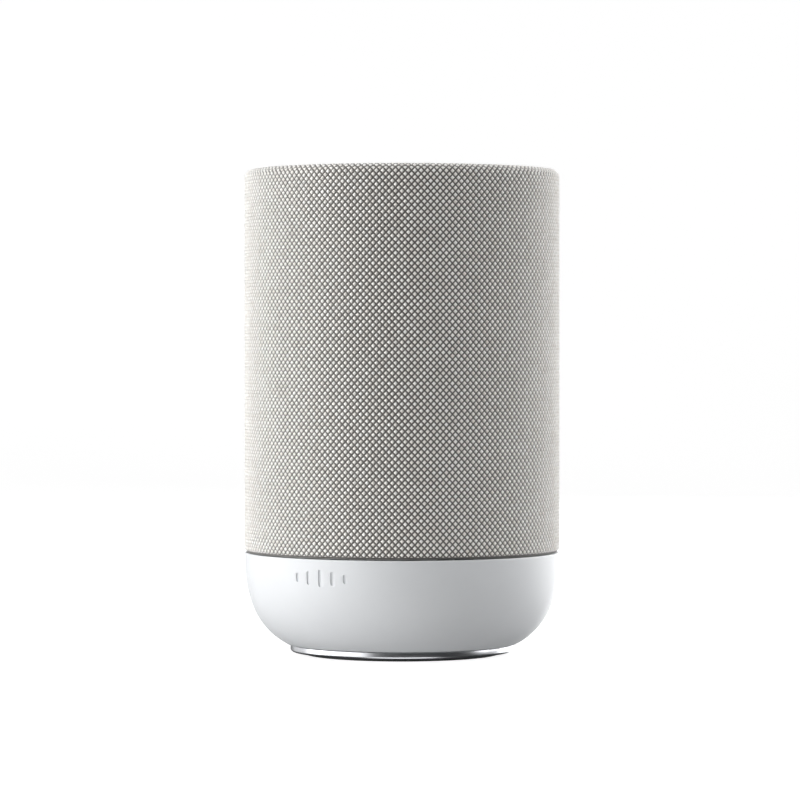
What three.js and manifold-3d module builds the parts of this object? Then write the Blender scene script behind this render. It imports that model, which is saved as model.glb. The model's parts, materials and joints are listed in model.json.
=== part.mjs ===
// A tabletop smart speaker: a fabric-covered drum on a bowl-shaped base with a metal foot ring.
// Millimetres, +Z up. The drivers face -Y, the sockets face +Y, and the origin is on the ground
// below the middle of the body.
import * as THREE from 'three';
import { mergeVertices } from 'three/addons/utils/BufferGeometryUtils.js';
import Module from 'manifold-3d';

const wasm = await Module();
wasm.setup();

// ---- driving dimensions ------------------------------------------------------------------------

const height = 215; // ground to the top of the fabric
const bodyRadius = 70; // outside of the fabric
const seamHeight = 45.5; // middle of the shadow line between fabric and base
const seamGap = 0.8;
const gap = 0.3; // between pieces that touch on the real object
const past = 1; // how far a cutting tool runs beyond the face that it cuts
const rooting = 0.5; // how far a stem or plug reaches into the body that it joins
const roundSteps = 36; // sides of the big round pieces, so that nested gaps stay even
const driverSteps = 20;
const keySteps = 16;
const holeSteps = 10;

// fabric sleeve, stretched over the grille frame and folded in over the top rim
const fabricThickness = 0.9;
const topEdgeRadius = 2.5;
const rimWidth = 5.4; // from the outside of the fabric to the edge of the fold
const foldRadius = 1.2;
const tuckDepth = 4;

// grille frame
const grilleLift = 0.4; // of the frame above the fabric's lower edge
const grilleWall = 1.8;
const rimDepth = 4;
const ledgeWidth = 6.5;
const ledgeThickness = 1.5;
const windowColumns = 8;
const windowRows = 2;
const windowBar = 9; // between two windows, and above and below them

// base shell
const shellWall = 2.4;
const baseInset = 0.4; // the fabric stands this much proud of the base
const bowlFootRadius = 50.9;
const bowlFootHeight = 4.6;
const bowlFootPull = 19.4;
const bowlFootAngle = THREE.MathUtils.degToRad(27.2);
const bowlTopPull = 13.5;
const baseOpeningRadius = 44;

// foot
const ringRadius = 49.5;
const ringInnerRadius = 45;
const ringBottom = 1.2;
const ringEdgeRadius = 1.2;
const padThickness = 1.3;
const padOuterRadius = 43.5;
const padInnerRadius = 34;

// screws that hold the foot, the base and the enclosure together
const screwCircleRadius = 39;
const screwRadius = 1.25;
const screwHeadRadius = 2.8;
const screwHeadHeight = 1.3;
const screwLength = 14;
const postRadius = 4;
const screwAngles = [45, 135, 225, 315];

// top plate and its keys
const topRecess = 1.2; // of the plate below the rim
const topPlateThickness = 2;
const skirtWall = 2.5;
const bossRadius = 2.5;
const bossCircleRadius = 50;
const bossAngles = [90, 210, 330];
const keyProud = 0.8;
const keyTravel = 0.7;
const keyFlange = 1.2;
const keyFlangeThickness = 1;
const keyStemRadius = 1.6;
const keyEdge = 0.6;
const keyDish = 0.3;
const volumeSpacing = 24;
const presetCircleRadius = 44;
const presetAngles = [-115, -90, -65];
const playRadius = 8.5;
const volumeRadius = 6.5;
const presetRadius = 4.5;
const lightLength = 10;
const lightWidth = 1.6;
const lightOffset = 27; // in front of the middle
const micOffset = 50;
const micHoleRadius = 0.6;
const micSize = [4, 3, 1];

// boards
const boardThickness = 1.6;
const controlBoardMargin = 3.5; // inside the frame's ledge
const controlBoardLift = 1.6; // above the enclosure lid
const switchSize = 6;
const switchBodyHeight = 1.6;
const switchPlungerRadius = 1.7;
const switchPlungerHeight = 0.6;
const ribbonWidth = 12;
const ribbonThickness = 0.4;
const ribbonDrop = 2.3; // of its lower run below the enclosure
const ribbonReach = 12; // in over the edge of the control board
const ribbonPlugInset = 6; // from the rear edge of the main board
const ribbonNotchMargin = 1;
const boardWidth = 46;
const boardFront = -33;
const boardRear = 37;
const powerBoardHeight = 10;
const mainBoardDrop = 11.6; // below the enclosure's floor
const standoffRadius = 2.5;
const standoffInset = 5;
const sinkSize = 30;
const sinkBase = 2;
const sinkFins = 7;
const sinkFinThickness = 1.2;
const sinkFinHeight = 6;
const sinkOffset = -8;
const transformerSize = [22, 20, 18];
const transformerPlace = [10.5, -8];
const bobbinMargin = 3;
const capacitorRadius = 7.5;
const capacitorHeight = 20;
const capacitorEdge = 1;
const capacitorPlace = [-13, -8];

// speaker enclosure
const enclosureWall = 3;
const enclosureClearance = 1.5; // between the enclosure and the grille frame
const enclosureAboveSeam = 4.5;
const enclosureBelowTop = 15;
const baffleFace = -36;
const baffleThickness = 4;
const lidThickness = 2.5;
const lidPlugDepth = 2.5;

// woofer, measured along its own axis from the baffle's face, forward positive
const driverMargin = 1; // between a driver's flange and the baffle's end
const wooferCutRadius = 46.3;
const wooferFlangeWidth = 6.7;
const wooferFlangeTop = 3;
const basketWall = 1.5;
const basketDepth = 33;
const basketTaper = 10.3;
const basketLip = 5; // of its back, in towards the voice coil
const basketWindows = 6;
const basketWindowWidth = 22;
const basketWindowSpan = [-21, -5];
const spiderSeat = -27.3;
const spiderSeatWidth = 5;
const spiderSteps = 5;
const spiderRipple = 2;
const spiderMargin = 0.4; // inside the basket, past the usual gap
const surroundSeat = 1.9;
const surroundThickness = 0.6;
const surroundRollRadius = 3.6;
const surroundLip = 1.8;
const coneInset = 6.5; // of the cone's edge inside the cut-out
const coneLip = 2.6;
const coneThickness = 0.8;
const coneNeck = -14;
const coilRadius = 13;
const coilWall = 0.8;
const coilEnd = -38;
const dustCapMargin = 3; // past the voice coil
const dustCapHeight = 4.5;
const magneticGap = 0.6; // each side of the voice coil
const plateThickness = 3.7;
const magnetRadius = 35;
const magnetMargin = 3; // between the voice coil and the magnet
const magnetThickness = 14.7;
const yokeThickness = 3.7;

// tweeters, measured in the same way
const tweeterSpacing = 23;
const tweeterFlangeRadius = 18;
const tweeterFlangeTop = 2.8;
const tweeterCutRadius = 14.2;
const tweeterDepth = 14;
const tweeterMouthRadius = 10;
const tweeterMouthFlare = 1.5;
const domeRadius = 9.5;
const domeHeight = 3.2;
const domeWall = 0.5;

// rear recess and its sockets; each place is [x, z]
const portHalfWidth = 24.5;
const portBottom = 14.7;
const portBelowSeam = 7.1;
const panelWall = 2.2;
const panelDepth = 14; // of the recess floor behind the outside of the body
const panelFloorThickness = 2;
const inletPlace = [-10.5, 26.3];
const inletSize = [19.4, 10.4];
const inletDepth = 14;
const inletCavity = [15.4, 8.4];
const inletCavityDepth = 11;
const pinRadius = 1.2;
const pinSpacing = 4.3;
const pinRecess = 2;
const pinTail = 3;
const usbPlace = [8.5, 21.5];
const usbSize = [9, 3.2];
const usbWall = 0.4;
const usbTongue = [6.6, 0.8];
const usbTongueRecess = 1;
const auxPlace = [17.5, 21.5];
const auxRadius = 3;
const auxBoreRadius = 1.75;
const auxBoreDepth = 7;
const pairPlace = [7.5, 30.3];
const pairRadius = 2.5;
const pairTravel = 0.8;
const pairFlange = 0.7;
const sideKeyProud = 1;
const sideKeyFlange = 1;
const micSwitchPlace = [16.5, 30.3];
const micSwitchKnob = [3.4, 1.8];
const micSwitchTravel = 3;
const micSwitchFlange = [7.4, 4.2];
const ioBoardDepth = 8.9; // behind the recess floor
const ioBoardLeft = 3;

// ---- sizes worked out from them ----------------------------------------------------------------

const fabricInnerRadius = bodyRadius - fabricThickness;
const fabricBottom = seamHeight + seamGap / 2;
const foldEdge = bodyRadius - rimWidth;
const grilleRadius = fabricInnerRadius - gap;
const grilleInnerRadius = grilleRadius - grilleWall;
const grilleTop = height - fabricThickness - gap;
const grilleBottom = fabricBottom + grilleLift;
const grilleRimRadius = foldEdge + fabricThickness + gap;
const baseRadius = bodyRadius - baseInset;
const baseTop = seamHeight - seamGap / 2;
const baseFloorTop = bowlFootHeight + shellWall;
const bottomPlateRadius = ringInnerRadius - gap;
const bottomPlateTop = bowlFootHeight - gap;
const bottomPlateBottom = padThickness + gap;
const enclosureBottom = seamHeight + enclosureAboveSeam;
const enclosureTop = height - enclosureBelowTop;
const enclosureRadius = grilleInnerRadius - enclosureClearance;
const enclosureInnerRadius = enclosureRadius - enclosureWall;
const baffleBack = baffleFace + baffleThickness;
const lidTop = enclosureTop + gap + lidThickness;
const ledgeBottom = lidTop + gap;
const ledgeTop = ledgeBottom + ledgeThickness;
const ledgeRadius = grilleInnerRadius - ledgeWidth;
const windowRise = ledgeBottom - grilleBottom - (windowRows + 1) * windowBar;
const windowHeight = windowRise / windowRows;
const windowWidth = 2 * grilleInnerRadius * Math.sin(Math.PI / windowColumns) - windowBar;
const topPlateRadius = foldEdge - gap;
const topPlateTop = height - topRecess;
const topPlateBottom = topPlateTop - topPlateThickness;
const controlBoardRadius = ledgeRadius - controlBoardMargin;
const controlBoardBottom = lidTop + controlBoardLift;
const controlBoardTop = controlBoardBottom + boardThickness;
const switchTop = controlBoardTop + gap + switchBodyHeight + switchPlungerHeight;
const keyFlangeTop = topPlateBottom - gap;
const keyFlangeBottom = keyFlangeTop - keyFlangeThickness;
const keyStemBottom = switchTop + gap + keyTravel;
const mainBoardHeight = enclosureBottom - mainBoardDrop;
const mainBoardTop = mainBoardHeight + boardThickness;
const powerBoardTop = powerBoardHeight + boardThickness;
const ribbonOuter = enclosureRadius + gap + ribbonThickness;
const ribbonTop = lidTop + controlBoardLift / 2 + ribbonThickness / 2;
const ribbonLow = enclosureBottom - ribbonDrop;
const wooferFlangeRadius = wooferCutRadius + wooferFlangeWidth;
const wooferHeight = enclosureBottom + driverMargin + wooferFlangeRadius;
const basketBackRadius = wooferCutRadius - basketTaper;
const spiderSeatRadius = basketBackRadius - spiderSeatWidth;
const coneRadius = wooferCutRadius - coneInset;
const dustCapRadius = coilRadius + dustCapMargin;
const magnetInnerRadius = coilRadius + magnetMargin;
const tweeterHeight = enclosureTop - driverMargin - tweeterFlangeRadius;
const panelFloorFace = bodyRadius - panelDepth;
const ioBoardFace = panelFloorFace - ioBoardDepth;
const portTop = baseTop - portBelowSeam;
const panelFloorBack = panelFloorFace - panelFloorThickness;
const recessHalfWidth = portHalfWidth - gap - panelWall;
const recessBottom = portBottom + gap + panelWall;
const recessTop = portTop - gap - panelWall;
const farOut = 2 * bodyRadius; // past every surface, for cutting tools

const keys = [
  { name: 'key_play', radius: playRadius, place: [0, 0] },
  { name: 'key_volume_down', radius: volumeRadius, place: [-volumeSpacing, 0] },
  { name: 'key_volume_up', radius: volumeRadius, place: [volumeSpacing, 0] },
  ...presetAngles.map((angle, index) => ({
    name: `key_preset_${index + 1}`,
    radius: presetRadius,
    place: onCircle(presetCircleRadius, angle),
  })),
];

// ---- finishes ----------------------------------------------------------------------------------

function finish(color, roughness, metalness = 0) {
  return new THREE.MeshStandardMaterial({ color, roughness, metalness });
}

const fabric = finish(0xcfcac3, 0.95);
const shellPlastic = finish(0xdfe0e1, 0.5);
const darkPlastic = finish(0x26272a, 0.55);
const keyPlastic = finish(0xd3d4d5, 0.4);
const rubber = finish(0x2e2e30, 0.9);
const satinMetal = finish(0xb9bcc0, 0.28, 1);
const steel = finish(0x8d9095, 0.35, 1);
const ferrite = finish(0x3a3a3d, 0.8);
const board = finish(0x1f5a3a, 0.6);
const paper = finish(0x2b2b2e, 0.85);
const copper = finish(0xb4713d, 0.4, 1);
const silk = finish(0x18181a, 0.7);
const clear = finish(0xf2f5f7, 0.15);
const film = finish(0xc98f3a, 0.5);

// ---- shape helpers -----------------------------------------------------------------------------

function onCircle(radius, degrees) {
  const angle = THREE.MathUtils.degToRad(degrees);
  return [radius * Math.cos(angle), radius * Math.sin(angle)];
}

// A closed geometry as a solid that can be joined and cut.
function solid(geometry) {
  geometry.deleteAttribute('normal');
  geometry.deleteAttribute('uv');
  const merged = mergeVertices(geometry);
  const corners = merged.index.array;
  const kept = [];
  for (let i = 0; i < corners.length; i += 3) {
    const [a, b, c] = corners.subarray(i, i + 3);
    if (a !== b && b !== c && c !== a) kept.push(a, b, c);
  }
  return new wasm.Manifold(new wasm.Mesh({
    numProp: 3,
    vertProperties: merged.attributes.position.array,
    triVerts: new Uint32Array(kept),
  }));
}

function block(x0, x1, y0, y1, z0, z1) {
  const box = new THREE.BoxGeometry(x1 - x0, y1 - y0, z1 - z0);
  box.translate((x0 + x1) / 2, (y0 + y1) / 2, (z0 + z1) / 2);
  return solid(box);
}

// A rod along +Z.
function rod(radius, z0, z1, [x, y] = [0, 0], steps = holeSteps) {
  const cylinder = new THREE.CylinderGeometry(radius, radius, z1 - z0, steps);
  cylinder.rotateX(Math.PI / 2);
  cylinder.translate(x, y, (z0 + z1) / 2);
  return solid(cylinder);
}

// A rod along +Y at [x, z].
function rodAlongY(radius, y0, y1, [x, z], steps = holeSteps) {
  const cylinder = new THREE.CylinderGeometry(radius, radius, y1 - y0, steps);
  cylinder.translate(x, (y0 + y1) / 2, z);
  return solid(cylinder);
}

// A block through the rear panel, centred on [x, z].
function blockAlongY([x, z], [width, depth], y0, y1) {
  return block(x - width / 2, x + width / 2, y0, y1, z - depth / 2, z + depth / 2);
}

// Turns an outline of [radius, z] points, counter-clockwise, about the Z axis.
function turned(outline, steps = roundSteps) {
  const points = outline.map(([radius, z]) => new THREE.Vector2(radius, z));
  const closed = outline[0][0] === 0 ? points : [...points, points[0].clone()];
  const lathe = new THREE.LatheGeometry(closed, steps);
  lathe.rotateX(Math.PI / 2);
  return solid(lathe);
}

// Points of an arc in the [radius, z] plane, angles in degrees.
function arc([radius, z], size, from, to, steps = 4) {
  return Array.from({ length: steps + 1 }, (_, step) => {
    const [across, up] = onCircle(size, from + ((to - from) * step) / steps);
    return [radius + across, z + up];
  });
}

// Points of a shallow dome from its rim to its crown on the axis.
function dome(radius, rim, rise, steps = 4) {
  return Array.from({ length: steps + 1 }, (_, step) => {
    const across = radius * (1 - step / steps);
    return [across, rim + rise * (1 - (across / radius) ** 2)];
  });
}

const speaker = new THREE.Group();

function add(name, body, material, parent = speaker) {
  const { vertProperties, triVerts } = body.getMesh();
  const geometry = new THREE.BufferGeometry();
  geometry.setAttribute('position', new THREE.BufferAttribute(vertProperties, 3));
  geometry.setIndex(new THREE.BufferAttribute(triVerts, 1));
  geometry.computeVertexNormals();
  const mesh = new THREE.Mesh(geometry, material);
  mesh.name = name;
  parent.add(mesh);
}

// ---- outer pieces ------------------------------------------------------------------------------

function fabricSleeve() {
  const edge = [bodyRadius - topEdgeRadius, height - topEdgeRadius];
  const fold = [foldEdge + foldRadius, height - foldRadius];
  const tuckBottom = height - tuckDepth;
  return turned([
    [bodyRadius, fabricBottom],
    ...arc(edge, topEdgeRadius, 0, 90, 3),
    ...arc(fold, foldRadius, 90, 180, 2),
    [foldEdge, tuckBottom],
    [foldEdge + fabricThickness, tuckBottom],
    ...arc(fold, foldRadius - fabricThickness, 180, 90, 1),
    ...arc(edge, topEdgeRadius - fabricThickness, 90, 0, 3),
    [fabricInnerRadius, fabricBottom],
  ]);
}

function grilleFrame() {
  const edge = [bodyRadius - topEdgeRadius, height - topEdgeRadius];
  let frame = turned([
    [grilleRadius, grilleBottom],
    ...arc(edge, topEdgeRadius - fabricThickness - gap, 0, 90, 2),
    [grilleRimRadius, grilleTop],
    [grilleRimRadius, grilleTop - rimDepth],
    [grilleInnerRadius, grilleTop - rimDepth - grilleWall],
    [grilleInnerRadius, ledgeTop],
    [ledgeRadius, ledgeTop],
    [ledgeRadius, ledgeBottom],
    [grilleInnerRadius, ledgeBottom],
    [grilleInnerRadius, grilleBottom],
  ]);
  for (let column = 0; column < windowColumns / 2; column += 1) {
    for (let row = 0; row < windowRows; row += 1) {
      const sill = grilleBottom + windowBar + row * (windowHeight + windowBar);
      const cutter = block(-windowWidth / 2, windowWidth / 2, -farOut, farOut, sill, sill + windowHeight);
      frame = frame.subtract(cutter.rotate([0, 0, (column * 360) / windowColumns]));
    }
  }
  const notchHalf = ribbonWidth / 2 + ribbonNotchMargin;
  const notchEnd = ribbonOuter + gap;
  const notchBottom = ledgeBottom - past;
  const notchTop = ledgeTop + past;
  const notch = block(-notchHalf, notchHalf, ledgeRadius - past, notchEnd, notchBottom, notchTop);
  return frame.subtract(notch);
}

function seamGasket() {
  return turned([
    [grilleRadius, baseTop + gap],
    [grilleRadius, grilleBottom - gap],
    [grilleInnerRadius, grilleBottom - gap],
    [grilleInnerRadius, baseTop + gap],
  ]);
}

// The bowl's outline from its foot to its top, moved inwards by the inset.
function bowlOutline(inset = 0, steps = 8) {
  const curve = new THREE.CubicBezierCurve(
    new THREE.Vector2(bowlFootRadius, bowlFootHeight),
    new THREE.Vector2(...onBowlHandle()),
    new THREE.Vector2(baseRadius, baseTop - bowlTopPull),
    new THREE.Vector2(baseRadius, baseTop),
  );
  return Array.from({ length: steps + 1 }, (_, step) => {
    const point = curve.getPoint(step / steps);
    const along = curve.getTangent(step / steps);
    return [point.x - inset * along.y, point.y + inset * along.x];
  });
}

function onBowlHandle() {
  return [
    bowlFootRadius + bowlFootPull * Math.cos(bowlFootAngle),
    bowlFootHeight + bowlFootPull * Math.sin(bowlFootAngle),
  ];
}

function baseShell() {
  const inside = bowlOutline(shellWall).filter(([, z]) => z > baseFloorTop + past);
  const bowl = turned([
    ...bowlOutline(),
    ...inside.reverse(),
    [bowlFootRadius, baseFloorTop],
    [baseOpeningRadius, baseFloorTop],
    [baseOpeningRadius, bowlFootHeight],
  ]);
  return bowl.subtract(block(-portHalfWidth, portHalfWidth, bodyRadius / 2, farOut, portBottom, portTop));
}

function footRing() {
  const corner = [ringRadius - ringEdgeRadius, ringBottom + ringEdgeRadius];
  return turned([
    [ringInnerRadius, ringBottom],
    ...arc(corner, ringEdgeRadius, -90, 0, 2),
    [ringRadius, bowlFootHeight - gap],
    [ringInnerRadius, bowlFootHeight - gap],
  ]);
}

function bottomPlate() {
  let plate = rod(bottomPlateRadius, bottomPlateBottom, bottomPlateTop, [0, 0], roundSteps);
  for (const place of standoffPlaces()) {
    plate = plate.add(rod(standoffRadius, bottomPlateBottom + rooting, powerBoardHeight - gap, place));
  }
  for (const angle of screwAngles) {
    const place = onCircle(screwCircleRadius, angle);
    const seat = bottomPlateBottom + screwHeadHeight + gap;
    plate = plate.subtract(rod(screwHeadRadius + gap, bottomPlateBottom - past, seat, place));
    plate = plate.subtract(rod(screwRadius + gap, bottomPlateBottom, bottomPlateTop + past, place));
  }
  return plate;
}

function bottomScrew(place) {
  const head = rod(screwHeadRadius, bottomPlateBottom, bottomPlateBottom + screwHeadHeight, place);
  const shankBottom = bottomPlateBottom + screwHeadHeight / 2;
  return head.add(rod(screwRadius, shankBottom, shankBottom + screwLength, place));
}

function footPad() {
  return turned([
    [padInnerRadius, 0],
    [padOuterRadius, 0],
    [padOuterRadius, padThickness],
    [padInnerRadius, padThickness],
  ]);
}

// ---- top ---------------------------------------------------------------------------------------

function topPlate() {
  const skirtBottom = ledgeTop + gap;
  let plate = turned([
    [0, topPlateBottom],
    [topPlateRadius - skirtWall, topPlateBottom],
    [topPlateRadius - skirtWall, skirtBottom],
    [topPlateRadius, skirtBottom],
    [topPlateRadius, topPlateTop - keyEdge],
    [topPlateRadius - keyEdge, topPlateTop],
    [0, topPlateTop],
  ]);
  for (const angle of bossAngles) {
    const place = onCircle(bossCircleRadius, angle);
    plate = plate.add(rod(bossRadius, controlBoardTop + gap, topPlateBottom + rooting, place));
  }
  const cutBottom = topPlateBottom - past;
  const cutTop = topPlateTop + past;
  for (const { radius, place } of keys) {
    plate = plate.subtract(rod(radius + gap, cutBottom, cutTop, place, keySteps));
  }
  for (const side of [-1, 1]) {
    plate = plate.subtract(rod(micHoleRadius, cutBottom, cutTop, [side * micOffset, 0]));
  }
  return plate.subtract(lightBlock(lightLength, lightWidth, cutBottom, cutTop));
}

function lightBlock(length, width, z0, z1) {
  return block(-length / 2, length / 2, -lightOffset - width / 2, -lightOffset + width / 2, z0, z1);
}

function statusLightPipe() {
  const stemLength = lightLength - 2 * gap;
  const stemWidth = lightWidth - 2 * gap;
  const stem = lightBlock(stemLength, stemWidth, controlBoardTop + gap, topPlateTop - gap);
  const flangeLength = lightLength + 2 * keyFlange;
  const flangeWidth = lightWidth + 2 * keyFlange;
  return stem.add(lightBlock(flangeLength, flangeWidth, keyFlangeBottom, keyFlangeTop));
}

function keyCap({ radius, place: [x, y] }) {
  const crown = topPlateTop + keyProud;
  const flangeRadius = radius + keyFlange;
  return turned([
    [0, keyStemBottom],
    [keyStemRadius, keyStemBottom],
    [keyStemRadius, keyFlangeBottom],
    [flangeRadius, keyFlangeBottom],
    [flangeRadius, keyFlangeTop],
    [radius, keyFlangeTop],
    ...arc([radius - keyEdge, crown - keyEdge], keyEdge, 0, 90, 1),
    [0, crown - keyDish],
  ], keySteps).translate([x, y, 0]);
}

function tactSwitch([x, y]) {
  const half = switchSize / 2;
  const foot = controlBoardTop + gap;
  const body = block(x - half, x + half, y - half, y + half, foot, foot + switchBodyHeight);
  return body.add(rod(switchPlungerRadius, foot + switchBodyHeight / 2, switchTop, [x, y]));
}

function microphone(side) {
  const [length, width, rise] = micSize;
  const x = side * micOffset;
  const foot = controlBoardTop + gap;
  return block(x - length / 2, x + length / 2, -width / 2, width / 2, foot, foot + rise);
}

function controlBoard() {
  return rod(controlBoardRadius, controlBoardBottom, controlBoardTop, [0, 0], roundSteps);
}

// A flat ribbon from below the control board, down behind the enclosure, to the main board.
function controlRibbon() {
  const half = ribbonWidth / 2;
  const start = controlBoardRadius - ribbonReach;
  const inner = ribbonOuter - ribbonThickness;
  const end = boardRear - ribbonPlugInset;
  const across = block(-half, half, start, ribbonOuter, ribbonTop - ribbonThickness, ribbonTop);
  const down = block(-half, half, inner, ribbonOuter, ribbonLow - ribbonThickness, ribbonTop);
  const back = block(-half, half, end, ribbonOuter, ribbonLow - ribbonThickness, ribbonLow);
  const plug = block(-half, half, end, end + ribbonThickness, mainBoardTop + gap, ribbonLow);
  return across.add(down).add(back).add(plug);
}

// ---- enclosure ---------------------------------------------------------------------------------

// A round slab with its front cut flat.
function flatFronted(radius, front, z0, z1) {
  const slab = rod(radius, z0, z1, [0, 0], roundSteps);
  return slab.subtract(block(-farOut, farOut, -farOut, front, z0 - past, z1 + past));
}

function enclosureBody() {
  const outside = flatFronted(enclosureRadius, baffleFace, enclosureBottom, enclosureTop);
  const floor = enclosureBottom + enclosureWall;
  const inside = flatFronted(enclosureInnerRadius, baffleBack, floor, enclosureTop + past);
  let body = outside.subtract(inside);
  const cutEnd = baffleBack + past;
  body = body.subtract(rodAlongY(wooferCutRadius, -farOut, cutEnd, [0, wooferHeight], driverSteps));
  for (const side of [-1, 1]) {
    const place = [side * tweeterSpacing, tweeterHeight];
    body = body.subtract(rodAlongY(tweeterCutRadius, -farOut, cutEnd, place, driverSteps));
  }
  for (const angle of screwAngles) {
    const place = onCircle(screwCircleRadius, angle);
    body = body.add(rod(postRadius, bottomPlateTop + gap, floor, place));
    body = body.subtract(rod(screwRadius + gap, bottomPlateTop, bottomPlateTop + screwLength, place));
  }
  for (const place of standoffPlaces()) {
    body = body.add(rod(standoffRadius, mainBoardTop + gap, enclosureBottom + rooting, place));
  }
  return body;
}

function enclosureLid() {
  const lid = flatFronted(enclosureRadius, baffleFace, enclosureTop + gap, lidTop);
  const plugRadius = enclosureInnerRadius - gap;
  const plugBottom = enclosureTop - lidPlugDepth;
  return lid.add(flatFronted(plugRadius, baffleBack + gap, plugBottom, enclosureTop + gap + rooting));
}

// ---- drivers; local +Z points forward ----------------------------------------------------------

function wooferBasket() {
  const inner = wooferCutRadius - gap - basketWall;
  let basket = turned([
    [basketBackRadius, -basketDepth],
    [wooferCutRadius - gap, gap],
    [wooferFlangeRadius, gap],
    [wooferFlangeRadius, wooferFlangeTop],
    [surroundOuter() + gap, wooferFlangeTop],
    [surroundOuter() + gap, surroundSeat],
    [inner, surroundSeat],
    [inner, gap],
    [basketBackRadius, spiderSeat],
    [spiderSeatRadius, spiderSeat],
    [spiderSeatRadius, -basketDepth + basketWall],
    [spiderSeatRadius - basketLip, -basketDepth + basketWall],
    [spiderSeatRadius - basketLip, -basketDepth],
  ], driverSteps);
  const half = basketWindowWidth / 2;
  const [low, high] = basketWindowSpan;
  for (let index = 0; index < basketWindows; index += 1) {
    const cutter = block(spiderSeatRadius, farOut, -half, half, low, high);
    basket = basket.subtract(cutter.rotate([0, 0, (index * 360) / basketWindows]));
  }
  return basket;
}

function surroundMiddle() {
  return coneRadius + surroundRollRadius;
}

function surroundOuter() {
  return surroundMiddle() + surroundRollRadius + surroundLip;
}

function wooferSurround() {
  const low = surroundSeat + gap;
  const high = low + surroundThickness;
  return turned([
    [coneRadius - coneLip, low],
    ...arc([surroundMiddle(), low], surroundRollRadius - surroundThickness, 180, 0, 6),
    [surroundOuter(), low],
    [surroundOuter(), high],
    ...arc([surroundMiddle(), high], surroundRollRadius - surroundThickness, 0, 180, 6),
    [coneRadius - coneLip, high],
  ], driverSteps);
}

function wooferCone() {
  const neck = coilRadius + gap;
  return turned([
    [neck, coneNeck],
    [coneRadius - coneLip, surroundSeat - coneThickness],
    [coneRadius, surroundSeat - coneThickness],
    [coneRadius, surroundSeat],
    [coneRadius - coneLip - coneThickness / 2, surroundSeat],
    [neck, coneNeck + coneThickness],
  ], driverSteps);
}

// Height of the cone's front face at a radius.
function coneFace(radius) {
  const neck = coilRadius + gap;
  const run = coneRadius - coneLip - coneThickness / 2 - neck;
  const foot = coneNeck + coneThickness;
  return foot + ((radius - neck) / run) * (surroundSeat - foot);
}

function wooferDustCap() {
  const rim = coneFace(dustCapRadius) + gap;
  const inside = dome(dustCapRadius - coneThickness, rim, dustCapHeight - coneThickness).reverse();
  return turned([...inside, ...dome(dustCapRadius, rim, dustCapHeight)], driverSteps);
}

function voiceCoil() {
  return turned([
    [coilRadius - coilWall, coilEnd],
    [coilRadius, coilEnd],
    [coilRadius, coneNeck + coneThickness],
    [coilRadius - coilWall, coneNeck + coneThickness],
  ], driverSteps);
}

// A rippled disc, from the coil to its seat in the basket.
function wooferSpider() {
  const inner = coilRadius + gap;
  const outer = basketBackRadius - gap - spiderMargin;
  const low = spiderSeat + gap;
  const wave = Array.from({ length: spiderSteps }, (_, step) => [
    inner + ((outer - inner) * step) / spiderSteps,
    low + (step % 2) * spiderRipple,
  ]);
  const lower = [...wave, [outer, low]];
  const upper = lower.map(([radius, z]) => [radius, z + surroundThickness]).reverse();
  return turned([...lower, ...upper], driverSteps);
}

const frontPlateTop = -basketDepth - gap;
const frontPlateBottom = frontPlateTop - plateThickness;
const magnetTop = frontPlateBottom - gap;
const magnetBottom = magnetTop - magnetThickness;
const yokeTop = magnetBottom - gap;

function wooferFrontPlate() {
  const bore = coilRadius + magneticGap;
  return turned([
    [bore, frontPlateBottom],
    [basketBackRadius, frontPlateBottom],
    [basketBackRadius, frontPlateTop],
    [bore, frontPlateTop],
  ], driverSteps);
}

function wooferMagnet() {
  return turned([
    [magnetInnerRadius, magnetBottom],
    [magnetRadius, magnetBottom],
    [magnetRadius, magnetTop],
    [magnetInnerRadius, magnetTop],
  ], driverSteps);
}

function wooferYoke() {
  const pole = coilRadius - coilWall - magneticGap;
  return turned([
    [0, yokeTop - yokeThickness],
    [magnetRadius, yokeTop - yokeThickness],
    [magnetRadius, yokeTop],
    [pole, yokeTop],
    [pole, frontPlateTop],
    [0, frontPlateTop],
  ], driverSteps);
}

function tweeterHousing() {
  return turned([
    [0, -tweeterDepth],
    [tweeterCutRadius - gap, -tweeterDepth],
    [tweeterCutRadius - gap, gap],
    [tweeterFlangeRadius, gap],
    [tweeterFlangeRadius, tweeterFlangeTop],
    [tweeterMouthRadius + tweeterMouthFlare, tweeterFlangeTop],
    [tweeterMouthRadius, tweeterFlangeTop / 2],
    [tweeterMouthRadius, -tweeterDepth / 2],
    [0, -tweeterDepth / 2],
  ], driverSteps);
}

function tweeterDome() {
  const inside = dome(domeRadius - domeWall, 0, domeHeight - domeWall, 3).reverse();
  return turned([...inside, ...dome(domeRadius, 0, domeHeight, 3)], driverSteps);
}

function facingForward(x, z) {
  const group = new THREE.Group();
  group.position.set(x, baffleFace, z);
  group.rotation.x = Math.PI / 2;
  speaker.add(group);
  return group;
}

// ---- rear sockets ------------------------------------------------------------------------------

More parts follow.
